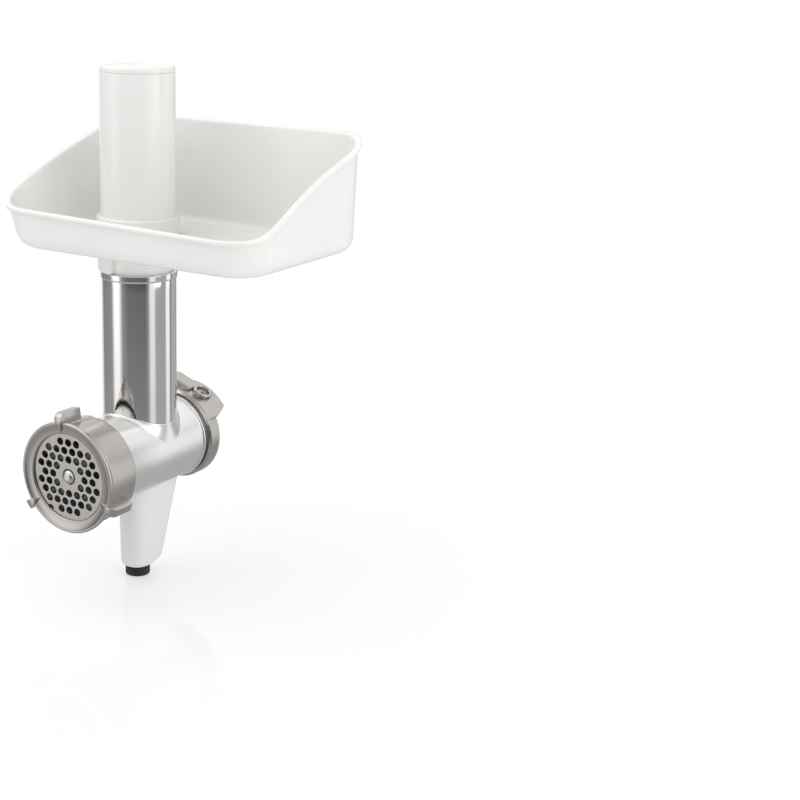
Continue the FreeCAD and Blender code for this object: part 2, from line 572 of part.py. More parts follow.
leg_floor = LEG_BASE_Z + FOOT_STEM_H + 1.0
leg = leg_solid(0, LEG_BASE_Z)
hollow = leg_solid(LEG_WALL, LEG_BASE_Z).common(box(-60, 60, -60, 60, leg_floor + 6.0, 0))
boss = cyl_z(LEG_STUD_R + LEG_WALL, LEG_BASE_Z, LEG_TOP_Z, 0, FOOT_Y).common(leg)
leg = leg.cut(hollow).fuse(boss)
stud_low = -BARREL_R - LEG_STUD_H
leg = leg.cut(cyl_z(LEG_STUD_R + 0.1, stud_low, 0, 0, FOOT_Y))
leg = leg.cut(cyl_z(LEG_SCREW_R + 0.3, LEG_BASE_Z - 1, stud_low + 1, 0, FOOT_Y))
head_z = LEG_BASE_Z + FOOT_STEM_H + LEG_HEAD_T + 1.6
leg = leg.cut(cyl_z(LEG_HEAD_R + 0.6, LEG_BASE_Z + FOOT_STEM_H, head_z, 0, FOOT_Y))
leg = leg.cut(cyl_z(LEG_HEAD_R + 0.6, LEG_BASE_Z - 1, LEG_BASE_Z + FOOT_STEM_H, 0, FOOT_Y)).cut(outer)
parts["leg"] = leg.removeSplitter()
stud_solid = cyl_z(LEG_STUD_R, stud_low, -BARREL_R + 6, 0, FOOT_Y).cut(outer)
parts["leg_stud"] = stud_solid.cut(cyl_z(LEG_SCREW_R, stud_low - 1, stud_low + 14, 0, FOOT_Y))
washer = cyl_z(LEG_HEAD_R + 0.4, head_z - 1.0, head_z, 0, FOOT_Y)
washer = washer.cut(cyl_z(LEG_SCREW_R + 0.1, head_z - 2, head_z + 1, 0, FOOT_Y))
parts["leg_washer"] = washer
leg_head = cyl_z(LEG_HEAD_R, head_z - 1.0 - LEG_HEAD_T, head_z - 1.0, 0, FOOT_Y)
shank = cyl_z(LEG_SCREW_R, head_z - 1.0, stud_low + 12, 0, FOOT_Y)
parts["leg_screw"] = leg_head.fuse(shank).removeSplitter()
foot = cyl_z(FOOT_R, LEG_BASE_Z - FOOT_H, LEG_BASE_Z, 0, FOOT_Y)
foot = foot.makeFillet(1.2, [e for e in foot.Edges
                             if e.Closed and abs(e.BoundBox.ZMax - LEG_BASE_Z + FOOT_H) < 0.01])
stem = cyl_z(FOOT_STEM_R + 1.0, LEG_BASE_Z, LEG_BASE_Z + FOOT_STEM_H - 0.6, 0, FOOT_Y)
foot = foot.fuse(stem).removeSplitter()
parts["foot"] = foot

# ---- write every part about the coupling's mouth
os.makedirs("parts", exist_ok=True)
for name, shape in parts.items():
    shape.translate(V(0, -COUPLING_BACK, 0))
    shape.exportStep("parts/" + name + ".step")
    print(name, len(shape.Solids), round(shape.Volume, 1), shape.isValid())
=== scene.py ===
"""The looks of a meat mincer attachment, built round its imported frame.

Sizes are in millimetres about the feed tube's axis, as the sub-assemblies give them: X to the side
that the tray reaches out to, Y back along the worm, Z up. Every finished mesh is in metres in the
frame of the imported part.
"""

import logging
import math
from dataclasses import dataclass
from enum import Enum
from typing import Optional, Sequence, Union

import bmesh
import bpy
import numpy as np
from mathutils import Matrix, Vector


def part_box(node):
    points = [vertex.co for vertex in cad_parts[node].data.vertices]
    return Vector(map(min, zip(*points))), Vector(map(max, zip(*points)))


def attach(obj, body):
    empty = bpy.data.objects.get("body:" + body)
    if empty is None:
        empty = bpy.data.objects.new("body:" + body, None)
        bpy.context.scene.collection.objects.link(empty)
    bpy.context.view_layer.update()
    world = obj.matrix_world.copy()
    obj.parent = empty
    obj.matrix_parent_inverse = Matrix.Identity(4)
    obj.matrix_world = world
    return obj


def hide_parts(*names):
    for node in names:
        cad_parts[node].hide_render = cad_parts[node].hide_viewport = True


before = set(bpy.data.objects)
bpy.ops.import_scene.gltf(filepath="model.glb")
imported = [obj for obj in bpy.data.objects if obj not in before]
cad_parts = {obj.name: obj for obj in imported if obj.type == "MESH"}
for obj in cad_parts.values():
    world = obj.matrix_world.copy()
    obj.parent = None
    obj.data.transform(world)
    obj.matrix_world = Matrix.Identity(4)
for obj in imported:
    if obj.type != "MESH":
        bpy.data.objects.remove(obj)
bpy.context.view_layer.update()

LOG = logging.getLogger("mincer")
MM = 0.001
TUBE_AXIS_Y = 0.5 * (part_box("feed_tube")[0].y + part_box("feed_tube")[1].y)

SHARP = 38.0

Number = Union[float, int]
Operand = Union["Val", Number]
Array = np.ndarray
Reach = Union[float, Array]
Pair = tuple[float, float]
Colour = tuple[float, float, float]
Point = tuple[float, float, float]
Piece = bpy.types.Object


# ---------------------------------------------------------------- meshes
def placed(points: Array) -> Array:
    """Points in millimetres about the feed tube, as metres in the part's frame."""
    out = np.asarray(points, float) * MM
    out[..., 1] += TUBE_AXIS_Y
    return out


def mesh_object(name: str, points: Array, faces: Sequence[Sequence[int]], sharp: float = SHARP) -> Piece:
    """Makes a smooth-shaded object with doubled points merged and faces turned outwards.

    Args:
        name: the object's name.
        points: an (n, 3) array in millimetres.
        faces: point numbers of each face.
        sharp: edges with a larger angle than this, in degrees, stay sharp.

    Returns:
        The object, at the origin.
    """
    mesh = bpy.data.meshes.new(name)
    mesh.from_pydata(placed(points).tolist(), [], [list(f) for f in faces])
    work = bmesh.new()
    work.from_mesh(mesh)
    bmesh.ops.remove_doubles(work, verts=work.verts, dist=2e-7)
    bmesh.ops.dissolve_degenerate(work, edges=work.edges, dist=1e-7)
    bmesh.ops.recalc_face_normals(work, faces=work.faces)
    work.to_mesh(mesh)
    work.free()
    mesh.validate()
    shade(mesh, sharp)
    made = bpy.data.objects.new(name, mesh)
    bpy.context.scene.collection.objects.link(made)
    return made


def shade(mesh: bpy.types.Mesh, sharp: float = SHARP) -> None:
    """Smooths a mesh except over edges sharper than an angle in degrees."""
    mesh.polygons.foreach_set("use_smooth", [True] * len(mesh.polygons))
    mesh.set_sharp_from_angle(angle=math.radians(sharp))


def skin(rings: Sequence[Array], close_along: bool = False, cap_start: bool = False,
         cap_end: bool = False, close_round: bool = True) -> tuple[Array, list[list[int]]]:
    """Joins rings of points, each the same length, into a skin of four-sided faces.

    Args:
        rings: arrays of shape (n, 3).
        close_along: joins the last ring to the first.
        cap_start: fills the first ring.
        cap_end: fills the last ring.
        close_round: joins each ring's last point to its first.

    Returns:
        The points and the faces.
    """
    count = len(rings[0])
    points = np.concatenate(rings)
    faces: list[list[int]] = []
    rows = len(rings) if close_along else len(rings) - 1
    columns = count if close_round else count - 1
    for row in range(rows):
        low, high = row * count, ((row + 1) % len(rings)) * count
        for i in range(columns):
            j = (i + 1) % count
            faces.append([low + i, low + j, high + j, high + i])
    if cap_start:
        faces.append(list(range(count))[::-1])
    if cap_end:
        faces.append([(len(rings) - 1) * count + i for i in range(count)])
    return points, faces


def rounded(corners: Sequence[Point], closed: bool = True, steps: int = 5) -> list[Pair]:
    """Rounds the corners of an outline and holds its straight runs flat.

    Args:
        corners: (a, b, radius) of each corner.
        closed: whether the last corner joins the first.
        steps: faces in each rounding.

    Returns:
        The outline's points.
    """
    out: list[Pair] = []
    total = len(corners)
    for i, (a, b, radius) in enumerate(corners):
        here = np.array([a, b])
        if not closed and i in (0, total - 1):
            out.append((a, b))
            continue
        before = np.array(corners[i - 1][:2]) - here
        after = np.array(corners[(i + 1) % total][:2]) - here
        run_in, run_out = np.linalg.norm(before), np.linalg.norm(after)
        before, after = before / run_in, after / run_out
        half = 0.5 * math.acos(float(np.clip(before @ after, -1, 1)))
        if radius <= 0 or half > math.radians(89.0):
            out.append((a, b))
            continue
        back = min(radius / math.tan(half), 0.48 * run_in, 0.48 * run_out)
        radius = back * math.tan(half)
        middle = (before + after) / np.linalg.norm(before + after)
        centre = here + middle * radius / math.sin(half)
        start, stop = here + before * back, here + after * back
        hold = min(0.3, 0.2 * back + 0.05)
        if run_in > 2.2 * back + 2 * hold:
            out.append(tuple(start + before * hold))
        for k in range(steps + 1):
            t = k / steps
            turn = math.pi - 2 * half
            u, v = start - centre, stop - centre
            s0, s1 = math.sin((1 - t) * turn), math.sin(t * turn)
            out.append(tuple(centre + (u * s0 + v * s1) / math.sin(turn)))
        if run_out > 2.2 * back + 2 * hold:
            out.append(tuple(stop + after * hold))
    return out


class Axis(Enum):
    """Which way a turned piece's axis lies."""
    ALONG_Y = "y"
    ALONG_Z = "z"


def ring_at(axis: Axis, radius: Reach, height: Reach, angles: Array, centre: Pair = (0.0, 0.0)) -> Array:
    """A ring of points round an axis.

    Args:
        axis: the axis that the ring goes round.
        radius: one radius, or one for each angle.
        height: the place along the axis, one or one for each angle.
        angles: in radians, from +X towards +Z or towards +Y.
        centre: where the axis is, as (x, z) or (x, y).

    Returns:
        An (n, 3) array.
    """
    radius = np.broadcast_to(radius, angles.shape)
    height = np.broadcast_to(height, angles.shape)
    a, b = centre[0] + radius * np.cos(angles), centre[1] + radius * np.sin(angles)
    if axis is Axis.ALONG_Y:
        return np.stack([a, height, b], 1)
    return np.stack([a, b, height], 1)


def even_angles(count: int) -> Array:
    """Angles evenly round a circle."""
    return np.arange(count) * (2 * math.pi / count)


def turned(name: str, axis: Axis, outline: Sequence[Pair], count: int = 128,
           closed: bool = True, centre: Pair = (0.0, 0.0)) -> Piece:
    """A turned piece from an outline of (radius, place along the axis).

    Args:
        name: the object's name.
        axis: the axis that it is turned about.
        outline: its points; an open one starts and ends on the axis.
        count: faces round it.
        closed: whether the outline's last point joins its first.
        centre: where the axis is.

    Returns:
        The object.
    """
    angles = even_angles(count)
    rings = [ring_at(axis, max(r, 0.0), h, angles, centre) for r, h in outline]
    return mesh_object(name, *skin(rings, close_along=closed))


def lathe(name: str, axis: Axis, corners: Sequence[Point], count: int, closed: bool = False,
          steps: int = 5, centre: Pair = (0.0, 0.0)) -> Piece:
    """A turned piece from the corners of its outline, each with its rounding."""
    return turned(name, axis, rounded(corners, closed, steps), count, closed, centre)


def joined(name: str, pieces: Sequence[Piece]) -> Piece:
    """Puts several objects' meshes in one object, and removes the others."""
    work = bmesh.new()
    for piece in pieces:
        work.from_mesh(piece.data)
    mesh = bpy.data.meshes.new(name)
    work.to_mesh(mesh)
    work.free()
    for piece in pieces:
        bpy.data.objects.remove(piece)
    made = bpy.data.objects.new(name, mesh)
    bpy.context.scene.collection.objects.link(made)
    return made


def settled(piece: Piece, sharp: float = SHARP) -> Piece:
    """Turns a piece with live modifiers into a plain mesh, and removes its modifiers."""
    bpy.context.view_layer.update()
    seen = piece.evaluated_get(bpy.context.evaluated_depsgraph_get())
    mesh = bpy.data.meshes.new_from_object(seen, depsgraph=bpy.context.evaluated_depsgraph_get())
    piece.modifiers.clear()
    piece.data = mesh
    mesh.name = piece.name
    shade(mesh, sharp)
    return piece


def cut(piece: Piece, cutter: Piece, sharp: float = SHARP) -> Piece:
    """Takes the cutter's solid out of the piece, and removes the cutter."""
    knife = piece.modifiers.new("cut", "BOOLEAN")
    knife.operation = "DIFFERENCE"
    knife.solver = "EXACT"
    knife.object = cutter
    settled(piece, sharp)
    bpy.data.objects.remove(cutter)
    return piece


def prism(name: str, side: Sequence[Point], far: Sequence[Point], ease: float, over: float) -> Piece:
    """Joins two like outlines into a solid with eased edges.

    Args:
        name: the object's name.
        side: the points of one end, in millimetres.
        far: the points of the other end, in the same order.
        ease: how wide the easing is, in millimetres.
        over: edges with a larger angle than this, in degrees, are eased.

    Returns:
        The object.
    """
    count = len(side)
    faces = [list(range(count))[::-1], list(range(count, 2 * count))]
    faces += [[i, (i + 1) % count, count + (i + 1) % count, count + i] for i in range(count)]
    made = mesh_object(name, np.array([*side, *far]), faces)
    bevel = made.modifiers.new("ease", "BEVEL")
    bevel.width = ease * MM
    bevel.segments = 4
    bevel.limit_method = "ANGLE"
    bevel.angle_limit = math.radians(over)
    return settled(made, 60.0)


def spoke(section: Sequence[Pair], angle: float) -> Array:
    """A section of (radius, place along the axis), turned to an angle round the worm's axis."""
    return np.array([[r * math.cos(angle), y, r * math.sin(angle)] for r, y in section])


# ---------------------------------------------------------------- node maths
class Val:
    """A node socket that takes part in Python expressions."""

    def __init__(self, nodes: "Nodes", socket: bpy.types.NodeSocket) -> None:
        """Holds a socket of a node tree."""
        self.nodes = nodes
        self.socket = socket

    def _math(self, operation: str, *values: Operand) -> "Val":
        """Adds a Math node."""
        return self.nodes.node("ShaderNodeMath", {"operation": operation}, dict(enumerate(values)))

    def __add__(self, other: Operand) -> "Val":
        """self + other."""
        return self._math("ADD", self, other)

    def __sub__(self, other: Operand) -> "Val":
        """self - other."""
        return self._math("SUBTRACT", self, other)

    def __rsub__(self, other: Number) -> "Val":
        """other - self."""
        return self._math("SUBTRACT", other, self)

    def __mul__(self, other: Operand) -> "Val":
        """self * other."""
        return self._math("MULTIPLY", self, other)

    def __truediv__(self, other: Operand) -> "Val":
        """self / other."""
        return self._math("DIVIDE", self, other)

    def power(self, exponent: Number) -> "Val":
        """self to a power."""
        return self._math("POWER", self, exponent)

    def sine(self) -> "Val":
        """The sine of self."""
        return self._math("SINE", self)

    def floor(self) -> "Val":
        """self rounded down."""
        return self._math("FLOOR", self)

    def rest(self, step: Number) -> "Val":
        """What is left of self after whole steps."""
        return self._math("FLOORED_MODULO", self, step)

    def root(self) -> "Val":
        """The square root of self."""
        return self._math("SQRT", self)

    def above(self, other: Operand) -> "Val":
        """1 where self is more than other."""
        return self._math("GREATER_THAN", self, other)

    def below(self, other: Operand) -> "Val":
        """1 where self is less than other."""
        return self._math("LESS_THAN", self, other)

    def angle_of(self, other: "Val") -> "Val":
        """The angle whose tangent is self over other."""
        return self._math("ARCTAN2", self, other)

    def smooth(self, low: Number, high: Number) -> "Val":
        """Rises smoothly from 0 at low to 1 at high."""
        return self.nodes.node("ShaderNodeMapRange", {"interpolation_type": "SMOOTHSTEP"},
                               {0: self, 1: low, 2: high, 3: 0.0, 4: 1.0})

    def spread(self, low: Number, high: Number) -> "Val":
        """Takes 0..1 to low..high."""
        return self * (high - low) + low


Link = Union[Val, Number, Sequence[float]]


class Nodes:
    """A node tree with a single method for every kind of node."""

    def __init__(self, tree: bpy.types.NodeTree) -> None:
        """Empties the tree."""
        self.tree = tree
        tree.nodes.clear()

    def node(self, kind: str, settings: Optional[dict] = None, inputs: Optional[dict] = None,
             output: Union[int, str] = 0) -> Val:
        """Adds a node.

        Args:
            kind: the node's type.
            settings: its properties, set first; stops are a ramp's (place, grey level) pairs.
            inputs: values or links, by socket name or number.
            output: the socket that is handed back.

        Returns:
            That socket, wrapped.
        """
        made = self.tree.nodes.new(kind)
        for key, value in (settings or {}).items():
            if key == "stops":
                ramp = made.color_ramp
                while len(ramp.elements) < len(value):
                    ramp.elements.new(1.0)
                for element, (place, level) in zip(ramp.elements, value):
                    element.position = place
                    element.color = (level, level, level, 1.0)
            else:
                setattr(made, key, value)
        for key, value in (inputs or {}).items():
            socket = made.inputs[key]
            if isinstance(value, Val):
                self.tree.links.new(value.socket, socket)
            elif isinstance(value, tuple) and len(socket.default_value) == len(value) + 1:
                socket.default_value = (*value, 1.0)
            else:
                socket.default_value = value
        return Val(self, made.outputs[output] if made.outputs else None)


class Shader(Nodes):
    """A material's or the world's tree."""

    def place(self) -> Val:
        """Object coordinates, in metres."""
        return self.node("ShaderNodeTexCoord", output="Object")

    def parts(self, vector: Val) -> tuple[Val, Val, Val]:
        """The X, Y and Z of a vector."""
        sockets = self.node("ShaderNodeSeparateXYZ", inputs={0: vector}).socket.node.outputs
        return Val(self, sockets[0]), Val(self, sockets[1]), Val(self, sockets[2])

    def vector(self, x: Link, y: Link, z: Link) -> Val:
        """A vector from its three parts."""
        return self.node("ShaderNodeCombineXYZ", inputs={0: x, 1: y, 2: z})

    def noise(self, vector: Val, scale: float, detail: float = 2.0, rough: float = 0.5) -> Val:
        """Noise from 0 to 1."""
        return self.node("ShaderNodeTexNoise", {"noise_dimensions": "3D"},
                         {"Vector": vector, "Scale": scale, "Detail": detail, "Roughness": rough})

    def mix(self, factor: Link, first: Link, second: Link) -> Val:
        """Mixes two colours."""
        return self.node("ShaderNodeMix", {"data_type": "RGBA"}, {0: factor, 6: first, 7: second}, 2)

    def bump(self, height: Val, distance: float, strength: float) -> Val:
        """A bumped normal; distance is in metres."""
        return self.node("ShaderNodeBump", inputs={"Height": height, "Distance": distance,
                                                   "Strength": strength})

    def surface(self, **sockets: Link) -> None:
        """Ends the tree in a Principled shader with these sockets."""
        inputs = {key.replace("_", " "): value for key, value in sockets.items()}
        shader = self.node("ShaderNodeBsdfPrincipled", inputs=inputs)
        self.node("ShaderNodeOutputMaterial", inputs={"Surface": shader})


# ---------------------------------------------------------------- finishes
GRAIN_REACH = 0.004
QUARTER = 1.57


class Grain(Enum):
    """How a metal surface was last worked."""
    AROUND_Y = "turned or brushed round the worm's axis"
    ALONG_Z = "drawn along the feed tube"
    GROUND = "ground flat"
    CAST = "cast and blasted"


@dataclass(frozen=True)
class Finish:
    """A finish with its name."""
    name: str

    def build(self) -> bpy.types.Material:
        """Makes the material once, and hands it back after that."""
        found = bpy.data.materials.get(self.name)
        if found is None:
            found = bpy.data.materials.new(self.name)
            found.use_nodes = True
            self.dress(Shader(found.node_tree))
        return found

    def dress(self, tree: Shader) -> None:
        """Builds the node tree."""
        raise NotImplementedError


@dataclass(frozen=True)
class Steel(Finish):
    """A bare metal with a grain, faint handling marks and uneven gloss."""
    colour: Colour
    shadow: Colour
    grain: Grain
    gloss: Pair
    relief: float
    lines: float = 2200.0

    def grained(self, tree: Shader) -> Val:
        """Coordinates stretched along the grain."""
        x, y, z = tree.parts(tree.place())
        y = y - TUBE_AXIS_Y
        if self.grain is Grain.AROUND_Y:
            turn = z.angle_of(x)
            return tree.vector(turn.sine() * GRAIN_REACH, y, (turn + QUARTER).sine() * GRAIN_REACH)
        if self.grain is Grain.ALONG_Z:
            return tree.vector(x, y, z * 0.02)
        if self.grain is Grain.GROUND:
            return tree.vector(x * 0.06, y, z + x * 0.35)
        return tree.place()

    def dress(self, tree: Shader) -> None:
        """Builds the node tree."""
        place, along = tree.place(), self.grained(tree)
        fine = tree.noise(along, self.lines, 3.0, 0.6)
        broad = tree.noise(place, 38.0, 3.0, 0.55)
        marks = tree.noise(along, self.lines * 0.17, 2.0, 0.7).smooth(0.52, 0.78)
        tone = fine.smooth(0.2, 0.8) * 0.4 + broad.smooth(0.25, 0.75) * 0.6
        low, high = self.gloss
        rough = (broad.smooth(0.3, 0.72) * 0.6 + marks * 0.4).spread(low, high)
        tree.surface(Base_Color=tree.mix(tone, self.shadow, self.colour), Metallic=1.0,
                     Roughness=rough, Normal=tree.bump(fine, self.relief, 0.35))


@dataclass(frozen=True)
class Plastic(Finish):
    """A moulded plastic with a faint skin and uneven gloss."""
    colour: Colour
    shade_colour: Colour
    gloss: Pair
    skin: float = 0.00002
    scale: float = 900.0
    coat: float = 0.0
    glow: float = 0.0

    def dress(self, tree: Shader) -> None:
        """Builds the node tree."""
        place = tree.place()
        peel = tree.noise(place, self.scale, 2.0, 0.5)
        broad = tree.noise(place, 22.0, 2.0, 0.5)
        scuff = tree.noise(place, 140.0, 4.0, 0.65).smooth(0.58, 0.8)
        low, high = self.gloss
        tree.surface(Base_Color=tree.mix(broad.smooth(0.3, 0.75), self.colour, self.shade_colour),
                     Roughness=(broad * 0.5 + scuff * 0.5).spread(low, high),
                     Coat_Weight=self.coat, Coat_Roughness=0.08, Specular_IOR_Level=0.5,
                     Subsurface_Weight=self.glow, Subsurface_Radius=(1.0, 1.0, 1.0),
                     Subsurface_Scale=0.002, Normal=tree.bump(peel, self.skin, 0.3))


@dataclass(frozen=True)
class Rubber(Finish):
    """A soft dull rubber with dust in its skin."""
    colour: Colour
    dust: Colour

    def dress(self, tree: Shader) -> None:
        """Builds the node tree."""
        place = tree.place()
        grain = tree.noise(place, 1600.0, 3.0, 0.6)
        dust = tree.noise(place, 120.0, 4.0, 0.6).smooth(0.5, 0.8)
        tree.surface(Base_Color=tree.mix(dust * 0.35, self.colour, self.dust),
                     Roughness=grain.spread(0.45, 0.7), Normal=tree.bump(grain, 0.00006, 0.5))


WHITE = Plastic("white plastic", (0.83, 0.822, 0.806), (0.81, 0.803, 0.787), (0.20, 0.32),
                coat=0.1, glow=0.08)
LEG_WHITE = Plastic("leg white plastic", (0.74, 0.75, 0.73), (0.715, 0.725, 0.705), (0.30, 0.42))
MIRROR_STEEL = Steel("polished steel", (0.80, 0.79, 0.78), (0.74, 0.73, 0.72), Grain.ALONG_Z,
                     (0.07, 0.13), 0.000001, 1500.0)
SATIN_STEEL = Steel("satin steel", (0.78, 0.785, 0.775), (0.745, 0.75, 0.74), Grain.AROUND_Y,
                    (0.27, 0.30), 0.0000003, 2600.0)
CAST_STEEL = Steel("cast steel", (0.475, 0.455, 0.435), (0.43, 0.412, 0.394), Grain.CAST,
                   (0.22, 0.29), 0.000001, 1300.0)
PLATE_STEEL = Steel("ground plate steel", (0.56, 0.54, 0.525), (0.52, 0.505, 0.49), Grain.GROUND,
                    (0.34, 0.42), 0.000002, 2400.0)
CUTTER_STEEL = Steel("cutter steel", (0.60, 0.595, 0.59), (0.50, 0.495, 0.49), Grain.AROUND_Y,
                     (0.18, 0.34), 0.000004, 1800.0)
STUD_STEEL = Steel("stud steel", (0.66, 0.65, 0.63), (0.58, 0.57, 0.56), Grain.AROUND_Y,
                   (0.16, 0.26), 0.000004, 1800.0)
WORM_METAL = Steel("worm metal", (0.62, 0.62, 0.61), (0.54, 0.54, 0.535), Grain.CAST,
                   (0.34, 0.5), 0.00001, 1100.0)
ZINC_STEEL = Steel("zinc plated steel", (0.66, 0.67, 0.69), (0.58, 0.59, 0.61), Grain.AROUND_Y,
                   (0.2, 0.36), 0.000004, 1500.0)
ACETAL = Plastic("bearing acetal", (0.80, 0.78, 0.72), (0.74, 0.72, 0.66), (0.35, 0.5))
NYLON = Plastic("driver nylon", (0.045, 0.045, 0.048), (0.07, 0.07, 0.075), (0.38, 0.55),
                skin=0.00005, scale=1400.0)
SEAL_RUBBER = Rubber("seal rubber", (0.02, 0.02, 0.02), (0.08, 0.08, 0.08))
FOOT_RUBBER = Rubber("foot rubber", (0.012, 0.012, 0.012), (0.05, 0.05, 0.05))


def finish_piece(piece: Piece, finish: Finish, body: str, nodes: Sequence[str]) -> Piece:
    """Dresses a new piece, and ties it to its body and the nodes it stands for.

    Args:
        piece: the finished mesh.
        finish: its finish.
        body: the body that it rides on.
        nodes: the CAD nodes that it replaces.

    Returns:
        The piece.
    """
    piece.data.materials.clear()
    piece.data.materials.append(finish.build())
    piece.data.polygons.foreach_set("material_index", [0] * len(piece.data.polygons))
    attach(piece, body)
    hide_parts(*nodes)
    LOG.info("%s: %d faces, rides on %s", piece.name, len(piece.data.polygons), body)
    return piece


def dress_node(node: str, finish: Finish) -> None:
    """Gives a CAD node that stays its finish."""
    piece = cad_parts[node]
    if not piece.material_slots:
        piece.data.materials.append(finish.build())
    for place in piece.material_slots:
        place.material = finish.build()
    LOG.info("%s: kept, %s", node, finish.name)


# ---------------------------------------------------------------- geometry nodes
class Plan(Nodes):
    """A geometry node tree with named inputs, which ends in realized instances and a material."""

    def __init__(self, name: str, inputs: dict[str, tuple[str, object]]) -> None:
        """Starts the tree.

        Args:
            name: the tree's name.
            inputs: for each input's name, its socket type and its value.
        """
        super().__init__(bpy.data.node_groups.new(name, "GeometryNodeTree"))
        self.values = inputs
        face = self.tree.interface
        face.new_socket(name="Geometry", in_out="INPUT", socket_type="NodeSocketGeometry")
        for key, (kind, _value) in inputs.items():
            face.new_socket(name=key, in_out="INPUT", socket_type=kind)
        face.new_socket(name="Geometry", in_out="OUTPUT", socket_type="NodeSocketGeometry")
        self.entry = self.tree.nodes.new("NodeGroupInput")

    def given(self, name: str) -> Val:
        """A named input."""
        return Val(self, self.entry.outputs[name])

    def copies(self, points: Val, solid: str, **inputs: Val) -> Val:
        """Puts a copy of a named input's solid on each point."""
        tool = self.node("GeometryNodeObjectInfo", inputs={0: self.given(solid)}, output="Geometry")
        return self.node("GeometryNodeInstanceOnPoints",
                         inputs={"Points": points, "Instance": tool, **inputs})

    def close(self, shape: Val, material: bpy.types.Material) -> None:
        """Ends the tree."""
        real = self.node("GeometryNodeRealizeInstances", inputs={0: shape})
        dressed = self.node("GeometryNodeSetMaterial", inputs={"Geometry": real, "Material": material})
        out = self.tree.nodes.new("NodeGroupOutput")
        self.tree.links.new(dressed.socket, out.inputs[0])

    def apply(self, piece: Piece, sharp: float = SHARP) -> Piece:
        """Runs the tree on a piece and leaves a plain mesh.

        Args:
            piece: the object that the tree starts from.
            sharp: edges with a larger angle than this, in degrees, stay sharp.

        Returns:
            The piece.
        """
        live = piece.modifiers.new(self.tree.name, "NODES")
        live.node_group = self.tree
        for item in self.tree.interface.items_tree:
            if item.in_out == "INPUT" and item.name in self.values:
                live[item.identifier] = self.values[item.name][1]
        return settled(piece, sharp)


def ring_of_copies(name: str, seed: Piece, count: int, first: float, material: bpy.types.Material) -> Piece:
    """Copies a solid evenly round the worm's axis.

    Args:
        name: the new object's name.
        seed: the solid, drawn at +X; it is removed.
        count: how many copies.
        first: the first copy's angle in degrees from +X towards +Z.
        material: what the copies are dressed in.

    Returns:
        One object with every copy.
    """
    plan = Plan(name + "_plan", {"Count": ("NodeSocketInt", count),
                                 "First": ("NodeSocketFloat", math.radians(first)),
                                 "Solid": ("NodeSocketObject", seed)})
    points = plan.node("GeometryNodePoints", inputs={"Count": plan.given("Count")})
    index = plan.node("GeometryNodeInputIndex")
    turn = index * (2 * math.pi) / plan.given("Count") + plan.given("First")
    spin = plan.node("ShaderNodeCombineXYZ", inputs={1: 0.0 - turn})
    plan.close(plan.copies(points, "Solid", Rotation=spin), material)
    holder = bpy.data.objects.new(name, bpy.data.meshes.new(name))
    bpy.context.scene.collection.objects.link(holder)
    plan.apply(holder)
    bpy.data.objects.remove(seed)
    return holder


